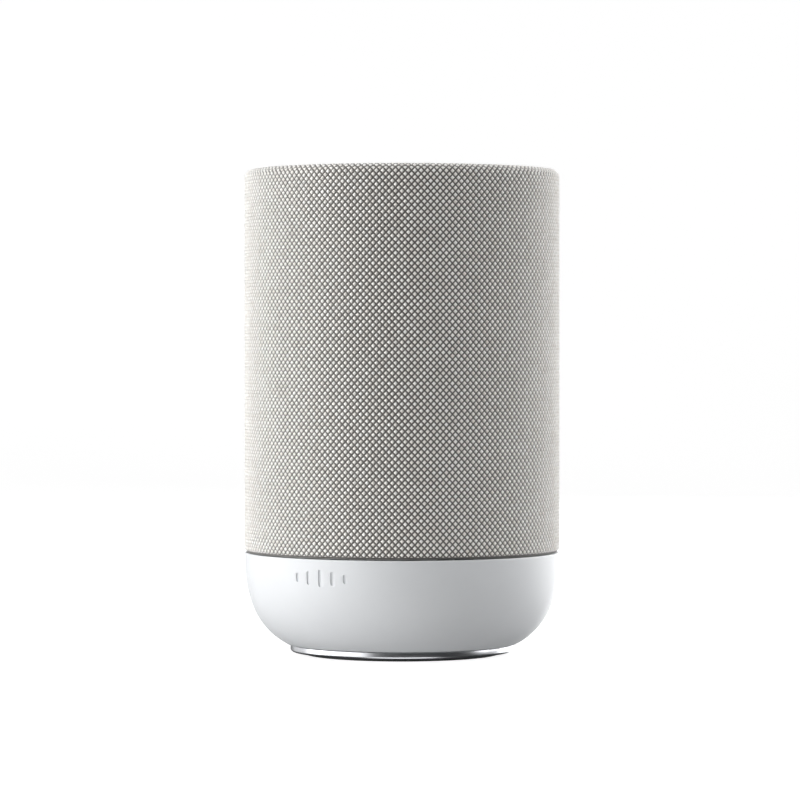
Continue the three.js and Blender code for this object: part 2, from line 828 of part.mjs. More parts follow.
function rearPanel() {
  const bowl = turned([[0, bowlFootHeight], ...bowlOutline(), [0, baseTop]]);
  const side = portHalfWidth - gap;
  const tray = block(-side, side, panelFloorBack, farOut, portBottom + gap, portTop - gap).intersect(bowl);
  const recess = block(-recessHalfWidth, recessHalfWidth, panelFloorFace, farOut, recessBottom, recessTop);
  const y0 = panelFloorBack - past;
  const y1 = panelFloorFace + past;
  const wider = ([width, depth]) => [width + 2 * gap, depth + 2 * gap];
  const slot = [micSwitchKnob[0] + micSwitchTravel, micSwitchKnob[1]];
  return tray
    .subtract(recess)
    .subtract(blockAlongY(inletPlace, wider(inletSize), y0, y1))
    .subtract(blockAlongY(usbPlace, wider(usbSize), y0, y1))
    .subtract(rodAlongY(auxRadius + gap, y0, y1, auxPlace))
    .subtract(rodAlongY(pairRadius + gap, y0, y1, pairPlace))
    .subtract(blockAlongY(micSwitchPlace, wider(slot), y0, y1));
}

// The socket's well has round ends, as wide as it is high.
function inletWell(y0, y1) {
  const [x, z] = inletPlace;
  const endRadius = inletCavity[1] / 2;
  const reach = inletCavity[0] / 2 - endRadius;
  return blockAlongY(inletPlace, [2 * reach, inletCavity[1]], y0, y1)
    .add(rodAlongY(endRadius, y0, y1, [x - reach, z]))
    .add(rodAlongY(endRadius, y0, y1, [x + reach, z]));
}

function pinPlace(side) {
  return [inletPlace[0] + side * pinSpacing, inletPlace[1]];
}

function powerInlet() {
  const back = panelFloorFace - inletDepth;
  let body = blockAlongY(inletPlace, inletSize, back, panelFloorFace);
  body = body.subtract(inletWell(panelFloorFace - inletCavityDepth, panelFloorFace + past));
  for (const side of [-1, 1]) {
    body = body.subtract(rodAlongY(pinRadius + gap, back - past, panelFloorFace, pinPlace(side)));
  }
  return body;
}

function inletPin(side) {
  const back = panelFloorFace - inletDepth - pinTail;
  return rodAlongY(pinRadius, back, panelFloorFace - pinRecess, pinPlace(side));
}

function usbShell() {
  const inside = [usbSize[0] - 2 * usbWall, usbSize[1] - 2 * usbWall];
  const back = ioBoardFace + gap;
  const shell = blockAlongY(usbPlace, usbSize, back, panelFloorFace);
  return shell.subtract(blockAlongY(usbPlace, inside, back + usbWall, panelFloorFace + past));
}

function usbTongueBlade() {
  return blockAlongY(usbPlace, usbTongue, ioBoardFace + 2 * gap + usbWall, panelFloorFace - usbTongueRecess);
}

function auxJack() {
  const body = rodAlongY(auxRadius, ioBoardFace + gap, panelFloorFace, auxPlace);
  const boreEnd = panelFloorFace - auxBoreDepth;
  return body.subtract(rodAlongY(auxBoreRadius, boreEnd, panelFloorFace + past, auxPlace));
}

function pairButton() {
  const flangeFace = panelFloorBack - gap;
  const back = ioBoardFace + gap + pairTravel;
  const cap = rodAlongY(pairRadius, back, panelFloorFace + sideKeyProud, pairPlace);
  return cap.add(rodAlongY(pairRadius + pairFlange, flangeFace - sideKeyFlange, flangeFace, pairPlace));
}

// The knob rests at the left end of its slot, seen from the drivers' side.
function micSwitch() {
  const rest = [micSwitchPlace[0] - micSwitchTravel / 2, micSwitchPlace[1]];
  const flangeFace = panelFloorBack - gap;
  const front = panelFloorFace + sideKeyProud;
  const knob = blockAlongY(rest, micSwitchKnob, flangeFace - sideKeyFlange / 2, front);
  return knob.add(blockAlongY(rest, micSwitchFlange, flangeFace - sideKeyFlange, flangeFace));
}

function ioBoard() {
  const back = ioBoardFace - boardThickness;
  return block(ioBoardLeft, recessHalfWidth, back, ioBoardFace, recessBottom, recessTop);
}

// ---- electronics in the base -------------------------------------------------------------------

function standoffPlaces() {
  const x = boardWidth / 2 - standoffInset;
  return [-x, x].flatMap((side) => [
    [side, boardFront + standoffInset],
    [side, boardRear - standoffInset],
  ]);
}

function plainBoard(bottom) {
  return block(-boardWidth / 2, boardWidth / 2, boardFront, boardRear, bottom, bottom + boardThickness);
}

function heatSink() {
  const half = sinkSize / 2;
  const foot = mainBoardTop + gap;
  const front = sinkOffset - half;
  const rear = sinkOffset + half;
  let sink = block(-half, half, front, rear, foot, foot + sinkBase);
  const pitch = (sinkSize - sinkFinThickness) / (sinkFins - 1);
  for (let fin = 0; fin < sinkFins; fin += 1) {
    const x = -half + fin * pitch;
    const top = foot + sinkBase + sinkFinHeight;
    sink = sink.add(block(x, x + sinkFinThickness, front, rear, foot + rooting, top));
  }
  return sink;
}

function transformer() {
  const [length, width, rise] = transformerSize;
  const [x, y] = transformerPlace;
  const foot = powerBoardTop + gap;
  const core = block(x - length / 2, x + length / 2, y - width / 2, y + width / 2, foot, foot + rise);
  const bobbinHalf = length / 2 - bobbinMargin;
  const bobbinReach = width / 2 + bobbinMargin;
  const top = foot + rise - bobbinMargin;
  return core.add(
    block(x - bobbinHalf, x + bobbinHalf, y - bobbinReach, y + bobbinReach, foot + bobbinMargin, top),
  );
}

function bulkCapacitor() {
  const [x, y] = capacitorPlace;
  const foot = powerBoardTop + gap;
  return turned([
    [0, foot],
    [capacitorRadius, foot],
    [capacitorRadius, foot + capacitorHeight - capacitorEdge],
    [capacitorRadius - capacitorEdge, foot + capacitorHeight],
    [0, foot + capacitorHeight],
  ], keySteps).translate([x, y, 0]);
}

// ---- assembly ----------------------------------------------------------------------------------

add('fabric_sleeve', fabricSleeve(), fabric);
add('grille_frame', grilleFrame(), darkPlastic);
add('seam_gasket', seamGasket(), rubber);
add('base_shell', baseShell(), shellPlastic);
add('foot_ring', footRing(), satinMetal);
add('bottom_plate', bottomPlate(), darkPlastic);
add('foot_pad', footPad(), rubber);
screwAngles.forEach((angle, index) => {
  add(`bottom_screw_${index + 1}`, bottomScrew(onCircle(screwCircleRadius, angle)), steel);
});

add('top_plate', topPlate(), shellPlastic);
add('status_light_pipe', statusLightPipe(), clear);
add('control_board', controlBoard(), board);
add('control_ribbon', controlRibbon(), film);
for (const key of keys) {
  add(key.name, keyCap(key), keyPlastic);
  add(key.name.replace('key', 'tact_switch'), tactSwitch(key.place), darkPlastic);
}
for (const [side, name] of [[-1, 'left'], [1, 'right']]) {
  add(`microphone_${name}`, microphone(side), satinMetal);
}

add('enclosure_body', enclosureBody(), darkPlastic);
add('enclosure_lid', enclosureLid(), darkPlastic);

const woofer = facingForward(0, wooferHeight);
add('woofer_basket', wooferBasket(), steel, woofer);
add('woofer_surround', wooferSurround(), rubber, woofer);
add('woofer_cone', wooferCone(), paper, woofer);
add('woofer_dust_cap', wooferDustCap(), paper, woofer);
add('woofer_voice_coil', voiceCoil(), copper, woofer);
add('woofer_spider', wooferSpider(), film, woofer);
add('woofer_front_plate', wooferFrontPlate(), steel, woofer);
add('woofer_magnet', wooferMagnet(), ferrite, woofer);
add('woofer_yoke', wooferYoke(), steel, woofer);

for (const [side, name] of [[-1, 'left'], [1, 'right']]) {
  const tweeter = facingForward(side * tweeterSpacing, tweeterHeight);
  add(`tweeter_${name}_housing`, tweeterHousing(), darkPlastic, tweeter);
  add(`tweeter_${name}_dome`, tweeterDome(), silk, tweeter);
}

add('rear_panel', rearPanel(), shellPlastic);
add('power_inlet', powerInlet(), darkPlastic);
add('inlet_pin_left', inletPin(-1), satinMetal);
add('inlet_pin_right', inletPin(1), satinMetal);
add('usb_c_shell', usbShell(), satinMetal);
add('usb_c_tongue', usbTongueBlade(), darkPlastic);
add('aux_jack', auxJack(), darkPlastic);
add('pair_button', pairButton(), keyPlastic);
add('mic_switch_knob', micSwitch(), keyPlastic);
add('io_board', ioBoard(), board);

add('main_board', plainBoard(mainBoardHeight), board);
add('heat_sink', heatSink(), satinMetal);
add('power_board', plainBoard(powerBoardHeight), board);
add('transformer', transformer(), ferrite);
add('bulk_capacitor', bulkCapacitor(), darkPlastic);

export default speaker;
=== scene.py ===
# A tabletop smart speaker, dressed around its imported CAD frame. Metres, +Z up, drivers facing -Y.
import json
import math
import random

import bmesh
import bpy
from mathutils import Matrix, Vector

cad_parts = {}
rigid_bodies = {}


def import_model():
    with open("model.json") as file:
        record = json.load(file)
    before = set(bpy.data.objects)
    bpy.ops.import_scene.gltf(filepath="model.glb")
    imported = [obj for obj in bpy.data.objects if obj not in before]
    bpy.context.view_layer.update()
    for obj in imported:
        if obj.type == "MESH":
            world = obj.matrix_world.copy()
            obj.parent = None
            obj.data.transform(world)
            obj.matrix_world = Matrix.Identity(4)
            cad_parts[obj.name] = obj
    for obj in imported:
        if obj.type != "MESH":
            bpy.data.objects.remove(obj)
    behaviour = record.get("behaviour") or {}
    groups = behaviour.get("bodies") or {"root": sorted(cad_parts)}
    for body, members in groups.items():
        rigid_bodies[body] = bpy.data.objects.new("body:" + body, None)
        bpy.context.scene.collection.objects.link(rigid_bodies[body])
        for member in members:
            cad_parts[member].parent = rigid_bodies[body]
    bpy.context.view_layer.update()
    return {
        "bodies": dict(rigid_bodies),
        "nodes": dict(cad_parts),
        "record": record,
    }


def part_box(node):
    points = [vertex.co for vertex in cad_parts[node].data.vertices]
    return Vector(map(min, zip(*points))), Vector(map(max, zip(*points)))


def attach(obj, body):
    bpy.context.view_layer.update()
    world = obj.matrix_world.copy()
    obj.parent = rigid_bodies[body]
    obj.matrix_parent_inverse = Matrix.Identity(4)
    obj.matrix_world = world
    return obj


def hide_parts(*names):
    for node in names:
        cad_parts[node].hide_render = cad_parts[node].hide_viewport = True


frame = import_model()
mm = 0.001
fullTurn = 2 * math.pi
endRounding = 0.49  # of a slot's width; a full half would leave edges of no length


# camera, lights and floor
studio = {
    "cameraDistance": 1.6,
    "cameraHeight": 0.137,
    "lens": 162,
    "sensorWidth": 36,
    "shiftX": -0.0025,
    "shiftY": -0.069,
    "worldColour": (0.93, 0.96, 1, 1),
    "worldStrength": 0.03,
    "floorColour": (0.3, 0.3, 0.3, 1),
    "floorGlow": 0.88,
    "floorRoughness": 0.8,
    "floorSpecular": 0.1,
    "floorRadius": 2.6,
    "floorSides": 96,
    "backdropBend": 0.9,
    "bendSteps": 12,
    "backdropHeight": 3,
    "lightsAimAt": (0, 0, 0.11),
}

softboxes = {
    # turn from the front to the right and rise (degrees), distance, width and height (m), watts
    "keyLeft": (-50, 6, 1.6, 0.8, 1.6, 11),
    "midLeft": (-75, 8, 1.6, 0.8, 1.4, 12),
    "sideLeft": (-98, 5, 1.6, 0.8, 1.4, 15),
    "backLeft": (-135, 4, 1.6, 0.9, 1.4, 4),
    "upperLeft": (-45, 60, 1.6, 0.9, 0.7, 8),
    "upperRight": (60, 50, 1.6, 0.8, 0.7, 2),
    "sideRight": (97, 18, 1.6, 0.8, 1.2, 20),
    "backRight": (130, 8, 1.6, 0.7, 1.4, 16),
    "back": (160, 4, 1.6, 0.7, 1.4, 12),
    "above": (0, 85, 1.7, 1.2, 1.2, 6),
    "lowFill": (0, -44, 0.75, 0.8, 0.4, 2.5),
}


def addCamera():
    data = bpy.data.cameras.new("productCamera")
    data.lens = studio["lens"]
    data.sensor_width = studio["sensorWidth"]
    data.shift_x = studio["shiftX"]
    data.shift_y = studio["shiftY"]
    data.dof.use_dof = False
    camera = bpy.data.objects.new("productCamera", data)
    camera.location = (0, -studio["cameraDistance"], studio["cameraHeight"])
    camera.rotation_euler = (math.pi / 2, 0, 0)
    bpy.context.collection.objects.link(camera)
    bpy.context.scene.camera = camera


def addSoftbox(name, turn, rise, distance, width, height, watts):
    data = bpy.data.lights.new(name, "AREA")
    data.shape = "RECTANGLE"
    data.size = width
    data.size_y = height
    data.energy = watts
    light = bpy.data.objects.new(name, data)
    turn, rise = math.radians(turn), math.radians(rise)
    outwards = Vector((math.sin(turn) * math.cos(rise), -math.cos(turn) * math.cos(rise), math.sin(rise)))
    light.location = Vector(studio["lightsAimAt"]) + outwards * distance
    light.rotation_euler = (-outwards).to_track_quat("-Z", "Y").to_euler()
    light.visible_camera = False
    bpy.context.collection.objects.link(light)


def addFloor():
    # a round floor that bends up into a backdrop on every side
    radius, bend = studio["floorRadius"], studio["backdropBend"]
    bm = bmesh.new()
    sides = studio["floorSides"]
    bmesh.ops.create_circle(bm, cap_ends=True, cap_tris=True, segments=sides, radius=radius - bend)
    rim = [edge for edge in bm.edges if edge.is_boundary]
    steps = studio["bendSteps"]
    for step in range(1, steps + 2):
        angle = min(step, steps) / steps * math.pi / 2
        height = bend * (1 - math.cos(angle)) + (studio["backdropHeight"] if step > steps else 0)
        reach = radius - bend + bend * math.sin(angle)
        grown = bmesh.ops.extrude_edge_only(bm, edges=rim)["geom"]
        rim = [item for item in grown if isinstance(item, bmesh.types.BMEdge)]
        for vert in {vert for edge in rim for vert in edge.verts}:
            outwards = vert.co.xy.normalized() * reach
            vert.co = (outwards.x, outwards.y, height)
    bmesh.ops.recalc_face_normals(bm, faces=bm.faces)
    mesh = bpy.data.meshes.new("studioFloor")
    bm.to_mesh(mesh)
    bm.free()
    for face in mesh.polygons:
        face.use_smooth = True
    floor = bpy.data.objects.new("studioFloor", mesh)
    bpy.context.collection.objects.link(floor)
    # it catches the shadow but neither bounces light nor blocks it
    floor.visible_diffuse = False
    floor.visible_glossy = False
    floor.visible_transmission = False
    floor.visible_shadow = False
    material = bpy.data.materials.new("floorPaper")
    material.use_nodes = True
    shader = material.node_tree.nodes["Principled BSDF"]
    shader.inputs["Base Color"].default_value = studio["floorColour"]
    shader.inputs["Roughness"].default_value = studio["floorRoughness"]
    shader.inputs["Specular IOR Level"].default_value = studio["floorSpecular"]
    shader.inputs["Emission Color"].default_value = (1, 1, 1, 1)
    shader.inputs["Emission Strength"].default_value = studio["floorGlow"]
    mesh.materials.append(material)


def addWorld():
    world = bpy.data.worlds.new("studioWorld")
    world.use_nodes = True
    background = world.node_tree.nodes["Background"]
    background.inputs["Color"].default_value = studio["worldColour"]
    background.inputs["Strength"].default_value = studio["worldStrength"]
    bpy.context.scene.world = world
    bpy.context.scene.view_settings.view_transform = "Standard"


addCamera()
addWorld()
addFloor()
for name, setting in softboxes.items():
    addSoftbox(name, *setting)
print("studio ready")


# mesh helpers
def newMesh(name, bm, smoothAngle=30):
    mesh = bpy.data.meshes.new(name)
    bm.to_mesh(mesh)
    bm.free()
    piece = bpy.data.objects.new(name, mesh)
    bpy.context.collection.objects.link(piece)
    shadeSmooth(piece, smoothAngle)
    return piece


def shadeSmooth(piece, smoothAngle=30):
    mesh = piece.data
    for face in mesh.polygons:
        face.use_smooth = True
    mesh.set_sharp_from_angle(angle=math.radians(smoothAngle))


def applyModifiers(piece):
    depsgraph = bpy.context.evaluated_depsgraph_get()
    finished = bpy.data.meshes.new_from_object(piece.evaluated_get(depsgraph))
    piece.modifiers.clear()
    finished.name = piece.name
    piece.data = finished


def boolean(piece, cutter, operation="DIFFERENCE"):
    step = piece.modifiers.new(operation.title(), "BOOLEAN")
    step.object = cutter
    step.operation = operation
    step.solver = "EXACT"
    applyModifiers(piece)
    bpy.data.objects.remove(cutter)


def bevelEdges(piece, width, smoothAngle=40, segments=2):
    step = piece.modifiers.new("Bevel", "BEVEL")
    step.width = width
    step.segments = segments
    step.limit_method = "ANGLE"
    step.angle_limit = math.radians(smoothAngle)
    applyModifiers(piece)
    shadeSmooth(piece, smoothAngle)


def sharpEdges(bm, degrees=30):
    limit = math.radians(degrees)
    return [edge for edge in bm.edges if len(edge.link_faces) == 2 and edge.calc_face_angle(0) > limit]


def softenEdges(bm, width, segments=3, degrees=30):
    bmesh.ops.bevel(
        bm, geom=sharpEdges(bm, degrees), offset=width, segments=segments,
        profile=0.5, affect="EDGES", material=-1, clamp_overlap=True,
    )


def turnOutline(outline, steps=160):
    # outline: (radius, height) pairs; a closed loop, unless it starts and ends on the axis
    bm = bmesh.new()
    verts = [bm.verts.new((radius, 0, height)) for radius, height in outline]
    onAxis = outline[0][0] == 0 and outline[-1][0] == 0
    pairs = list(zip(verts, verts[1:])) + ([] if onAxis else [(verts[-1], verts[0])])
    edges = [bm.edges.new(pair) for pair in pairs]
    bmesh.ops.spin(
        bm, geom=verts + edges, cent=(0, 0, 0), axis=(0, 0, 1), angle=fullTurn, steps=steps, use_merge=True
    )
    bmesh.ops.remove_doubles(bm, verts=bm.verts, dist=1e-6)
    bmesh.ops.recalc_face_normals(bm, faces=bm.faces)
    return bm


def roundedBlock(size, place, corner, axis="Y", segments=6, bm=None):
    # a block whose four edges along one axis are rounded
    bm = bm or bmesh.new()
    made = bmesh.ops.create_cube(bm, size=1)["verts"]
    bmesh.ops.scale(bm, verts=made, vec=size)
    along = "XYZ".index(axis)
    edges = {edge for vert in made for edge in vert.link_edges}
    upright = [
        edge for edge in edges
        if abs(edge.verts[0].co[along] - edge.verts[1].co[along]) > 0.5 * size[along]
    ]
    before = set(bm.verts) - set(made)
    bmesh.ops.bevel(
        bm, geom=upright, offset=corner, segments=segments, profile=0.5, affect="EDGES", material=-1
    )
    own = [vert for vert in bm.verts if vert not in before]
    bmesh.ops.translate(bm, verts=own, vec=place)
    return bm


def disc(radius, depth, place, axis="Z", segments=48, bm=None):
    # a plain cylinder, centred on its place
    bm = bm or bmesh.new()
    turn = Matrix.Rotation(math.pi / 2, 4, "X") if axis == "Y" else Matrix.Identity(4)
    bmesh.ops.create_cone(
        bm, cap_ends=True, segments=segments, radius1=radius, radius2=radius, depth=depth,
        matrix=Matrix.Translation(place) @ turn,
    )
    return bm


def arcPoints(centre, radius, start, end, steps=6):
    angles = [math.radians(start + (end - start) * step / steps) for step in range(steps + 1)]
    return [(centre[0] + radius * math.cos(angle), centre[1] + radius * math.sin(angle)) for angle in angles]


def finishPiece(piece, slot, replaced=(), body="root", finish=None):
    piece.data.materials.clear()
    piece.data.materials.append(finishes[finish or slot])
    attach(piece, body)
    if replaced:
        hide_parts(*replaced)


# material helpers
stock = {
    "grainDepth": 0.04 * mm,
    "glossSpread": 0.08,
    "patchSize": 30,  # size of the colour patches, in grains
    "specular": 0.35,
}


def newMaterial(name, colour, roughness, metallic=0.0):
    material = bpy.data.materials.new(name)
    material.use_nodes = True
    shader = material.node_tree.nodes["Principled BSDF"]
    shader.inputs["Base Color"].default_value = (*colour, 1)
    shader.inputs["Roughness"].default_value = roughness
    shader.inputs["Metallic"].default_value = metallic
    if not metallic:
        shader.inputs["Specular IOR Level"].default_value = stock["specular"]
    return material, material.node_tree, shader


def objectNoise(tree, scale, detail=3.0, stretch=(1, 1, 1)):
    coordinates = tree.nodes.new("ShaderNodeTexCoord")
    mapping = tree.nodes.new("ShaderNodeMapping")
    mapping.inputs["Scale"].default_value = stretch
    noise = tree.nodes.new("ShaderNodeTexNoise")
    noise.inputs["Scale"].default_value = scale
    noise.inputs["Detail"].default_value = detail
    tree.links.new(coordinates.outputs["Object"], mapping.inputs["Vector"])
    tree.links.new(mapping.outputs["Vector"], noise.inputs["Vector"])
    return noise


def addBump(tree, shader, height, strength, distance):
    bump = tree.nodes.new("ShaderNodeBump")
    bump.inputs["Strength"].default_value = strength
    bump.inputs["Distance"].default_value = distance
    tree.links.new(height, bump.inputs["Height"])
    tree.links.new(bump.outputs["Normal"], shader.inputs["Normal"])


def colourRamp(tree, factor, stops):
    ramp = tree.nodes.new("ShaderNodeValToRGB")
    elements = ramp.color_ramp.elements
    while len(elements) < len(stops):
        elements.new(0.5)
    for element, (position, colour) in zip(elements, stops):
        element.position = position
        element.color = (*colour, 1)
    tree.links.new(factor, ramp.inputs["Fac"])
    return ramp


def shade(colour, factor):
    return tuple(min(1, channel * factor) for channel in colour)


def mottled(name, colour, roughness, metallic=0.0, scale=900, spread=0.03, bump=0.15, stretch=(1, 1, 1)):
    # moulded, cast or coated stock: slight mottling, uneven gloss and a fine surface grain
    material, tree, shader = newMaterial(name, colour, roughness, metallic)
    grain = objectNoise(tree, scale, 4, stretch)
    broad = objectNoise(tree, scale / stock["patchSize"], 2)
    stops = [(0.3, shade(colour, 1 - spread)), (0.7, shade(colour, 1 + spread))]
    tint = colourRamp(tree, broad.outputs["Fac"], stops)
    tree.links.new(tint.outputs["Color"], shader.inputs["Base Color"])
    gloss = tree.nodes.new("ShaderNodeMapRange")
    gloss.inputs["To Min"].default_value = roughness * (1 - stock["glossSpread"])
    gloss.inputs["To Max"].default_value = min(1, roughness * (1 + stock["glossSpread"]))
    tree.links.new(grain.outputs["Fac"], gloss.inputs["Value"])
    tree.links.new(gloss.outputs["Result"], shader.inputs["Roughness"])
    addBump(tree, shader, grain.outputs["Fac"], bump, stock["grainDepth"])
    return material


# finishes
solderMask = {
    "colour": (0.015, 0.11, 0.045),
    "roughness": 0.35,
    "trackScale": 260,
    "green": (0.012, 0.1, 0.04, 1),
    "otherGreen": (0.014, 0.12, 0.05, 1),
    "track": (0.03, 0.2, 0.08, 1),
    "bump": 0.2,
    "relief": 0.03 * mm,
}


def circuitBoard():
    # solder mask with a faint run of copper tracks under it
    material, tree, shader = newMaterial("solderMask", solderMask["colour"], solderMask["roughness"])
    coordinates = tree.nodes.new("ShaderNodeTexCoord")
    tracks = tree.nodes.new("ShaderNodeTexBrick")
    tracks.inputs["Scale"].default_value = solderMask["trackScale"]
    tracks.inputs["Color1"].default_value = solderMask["green"]
    tracks.inputs["Color2"].default_value = solderMask["otherGreen"]
    tracks.inputs["Mortar"].default_value = solderMask["track"]
    tree.links.new(coordinates.outputs["Object"], tracks.inputs["Vector"])
    tree.links.new(tracks.outputs["Color"], shader.inputs["Base Color"])
    addBump(tree, shader, tracks.outputs["Fac"], solderMask["bump"], solderMask["relief"])
    return material


coil = {
    "copper": (0.62, 0.28, 0.12),
    "roughness": 0.3,
    "turnScale": 700,
    "bump": 0.5,
    "relief": 0.08 * mm,
}


def woundWire():
    material, tree, shader = newMaterial("enamelledCopper", coil["copper"], coil["roughness"], 1.0)
    coordinates = tree.nodes.new("ShaderNodeTexCoord")
    turns = tree.nodes.new("ShaderNodeTexWave")
    turns.bands_direction = "Y"
    turns.inputs["Scale"].default_value = coil["turnScale"]
    tree.links.new(coordinates.outputs["Object"], turns.inputs["Vector"])
    addBump(tree, shader, turns.outputs["Fac"], coil["bump"], coil["relief"])
    return material


lightPipe = {
    "colour": (0.88, 0.9, 0.91),
    "roughness": 0.3,
    "transmission": 0.35,
    "ior": 1.49,
    "grainScale": 3000,
    "bump": 0.1,
    "relief": 0.03 * mm,
}


def clearPipe():
    material, tree, shader = newMaterial("frostedPipe", lightPipe["colour"], lightPipe["roughness"])
    shader.inputs["Transmission Weight"].default_value = lightPipe["transmission"]
    shader.inputs["IOR"].default_value = lightPipe["ior"]
    grain = objectNoise(tree, lightPipe["grainScale"])
    addBump(tree, shader, grain.outputs["Fac"], lightPipe["bump"], lightPipe["relief"])
    return material


cloth = {
    "colour": (0.7, 0.68, 0.64),
    "roughness": 0.9,
    "sheen": 0.9,
    "sheenRoughness": 0.5,
    "fibreScale": 2600,
    "bump": 0.35,
    "relief": 0.12 * mm,
    # from the bottom of a gap to the crown of a knot: painted shade that darkens the gaps and the feet of
    # the knots' sides, partly the dark grille seen through the gaps
    "paintedShadeAndGrille": [
        (0.0, (0.13, 0.127, 0.122)),
        (0.35, (0.24, 0.235, 0.227)),
        (0.6, (0.62, 0.61, 0.59)),
        (0.85, (0.86, 0.85, 0.83)),
    ],
    # from knot to knot
    "heather": [(0.0, (0.9, 0.87, 0.84)), (0.5, (1, 0.99, 0.97)), (1.0, (1, 1, 1))],
}


def wovenFabric():
    material, tree, shader = newMaterial("stoneWeave", cloth["colour"], cloth["roughness"])
    shader.inputs["Sheen Weight"].default_value = cloth["sheen"]
    shader.inputs["Sheen Roughness"].default_value = cloth["sheenRoughness"]
    # the colour darkens from crown to gap: painted shade in the gaps, partly the dark grille behind the
    # cloth
    crown = tree.nodes.new("ShaderNodeAttribute")
    crown.attribute_name = "crown"
    depth = colourRamp(tree, crown.outputs["Fac"], cloth["paintedShadeAndGrille"])
    yarn = tree.nodes.new("ShaderNodeAttribute")
    yarn.attribute_name = "yarn"
    heather = colourRamp(tree, yarn.outputs["Fac"], cloth["heather"])
    mixed = tree.nodes.new("ShaderNodeMix")
    mixed.data_type = "RGBA"
    mixed.blend_type = "MULTIPLY"
    mixed.inputs["Factor"].default_value = 1
    tree.links.new(depth.outputs["Color"], mixed.inputs["A"])
    tree.links.new(heather.outputs["Color"], mixed.inputs["B"])
    tree.links.new(mixed.outputs["Result"], shader.inputs["Base Color"])
    fibre = objectNoise(tree, cloth["fibreScale"])
    addBump(tree, shader, fibre.outputs["Fac"], cloth["bump"], cloth["relief"])
    return material


latheMarks = {
    "aluminium": (0.5, 0.51, 0.53),
    "roughness": 0.3,
    "grooveScale": 9000,
    "bump": 0.1,
    "relief": 0.02 * mm,
}


def turnedAluminium():
    # fine grooves that run around the axis
    colour, roughness = latheMarks["aluminium"], latheMarks["roughness"]
    material, tree, shader = newMaterial("satinAluminium", colour, roughness, 1.0)
    coordinates = tree.nodes.new("ShaderNodeTexCoord")
    split = tree.nodes.new("ShaderNodeSeparateXYZ")
    radius = tree.nodes.new("ShaderNodeVectorMath")
    radius.operation = "LENGTH"
    flat = tree.nodes.new("ShaderNodeVectorMath")
    flat.operation = "MULTIPLY"
    flat.inputs[1].default_value = (1, 1, 0)
    around = tree.nodes.new("ShaderNodeCombineXYZ")
    noise = tree.nodes.new("ShaderNodeTexNoise")
    noise.inputs["Scale"].default_value = latheMarks["grooveScale"]
    noise.inputs["Detail"].default_value = 2
    tree.links.new(coordinates.outputs["Object"], flat.inputs[0])
    tree.links.new(flat.outputs["Vector"], radius.inputs[0])
    tree.links.new(coordinates.outputs["Object"], split.inputs["Vector"])
    tree.links.new(radius.outputs["Value"], around.inputs["X"])
    tree.links.new(split.outputs["Z"], around.inputs["Y"])
    tree.links.new(around.outputs["Vector"], noise.inputs["Vector"])
    addBump(tree, shader, noise.outputs["Fac"], latheMarks["bump"], latheMarks["relief"])
    return material


finishes = {
    "sleeve_fabric": wovenFabric(),
    "ring_metal": turnedAluminium(),
    "shell_plastic": mottled(
        "lightGreyShell", (0.65, 0.664, 0.68), 0.5, scale=2200, spread=0.008, bump=0.12
    ),
    "rubber": mottled("blackRubber", (0.025, 0.025, 0.027), 0.75, scale=1500, spread=0.15, bump=0.3),
    # the seam gasket's dark grey also stands for the shadow in the seam gap: painted shade on a real foam
    # part
    "gasket_foam": mottled("greyFoamSeamShade", (0.2, 0.197, 0.19), 0.85, scale=1800, spread=0.12, bump=0.3),
    "frame_plastic": mottled("blackFrame", (0.03, 0.03, 0.033), 0.5, scale=1200, spread=0.1, bump=0.25),
    "socket_plastic": mottled("socketBlack", (0.02, 0.02, 0.022), 0.4, scale=1800, spread=0.1),
    "key_plastic": mottled("keyGrey", (0.72, 0.735, 0.75), 0.36, scale=2400, spread=0.01, bump=0.08),
    "steel": mottled("zincSteel", (0.56, 0.56, 0.58), 0.34, 1.0, scale=700, spread=0.06, bump=0.1),
    "contact_metal": mottled("platedContact", (0.74, 0.72, 0.68), 0.22, 1.0, scale=1500, spread=0.03),
    "sink_aluminium": mottled(
        "extrudedSink", (0.66, 0.67, 0.68), 0.4, 1.0, spread=0.05, stretch=(1, 0.05, 1)
    ),
    "ferrite": mottled("darkFerrite", (0.05, 0.05, 0.055), 0.65, scale=1300, spread=0.15, bump=0.4),
    "cone_paper": mottled("pressedPulp", (0.03, 0.03, 0.032), 0.85, scale=1600, spread=0.25, bump=0.6),
    "spider_cloth": mottled("resinCloth", (0.5, 0.32, 0.12), 0.8, scale=2600, spread=0.12, bump=0.5),
    "dome_silk": mottled("coatedSilk", (0.02, 0.02, 0.022), 0.45, scale=3800, spread=0.1, bump=0.3),
    "ribbon_film": mottled("amberFilm", (0.5, 0.24, 0.05), 0.25, scale=500, spread=0.08, bump=0.05),
    "capacitor_sleeve": mottled("shrinkSleeve", (0.03, 0.03, 0.05), 0.3, scale=900, spread=0.1),
    "circuit_board": circuitBoard(),
    "coil_copper": woundWire(),
    "light_pipe": clearPipe(),
}


# fabric sleeve
sleeve = {
    "columns": 160,  # knots around
    "rows": 60,  # knots along the cloth, from hem to tuck
    "gapShare": 0.34 * mm,  # each knot's half of the gap to the next one
    "gapDepth": 0.08 * mm,
    "sideWidth": 0.07 * mm,
    "sideHeight": 0.46 * mm,
    "hemRadius": 0.5 * mm,
    "hemTurn": 60,
    "hemClearance": 0.1 * mm,
    "topEdgeRadius": 2.5 * mm,
    "foldRadius": 1.2 * mm,
    "tuckDepth": 4 * mm,
    "rimWidth": 5.4 * mm,
    "looseness": 0.05 * mm,
    "rimPress": 0.28 * mm,  # how much flatter the knots are where the cloth is pulled over the rim
    "footShade": 0.35,  # where a knot's side begins on the scale from gap to crown, which sets the painted shade at the side's foot
    "seed": 11,
}
knotHeight = sleeve["gapDepth"] + sleeve["sideHeight"]


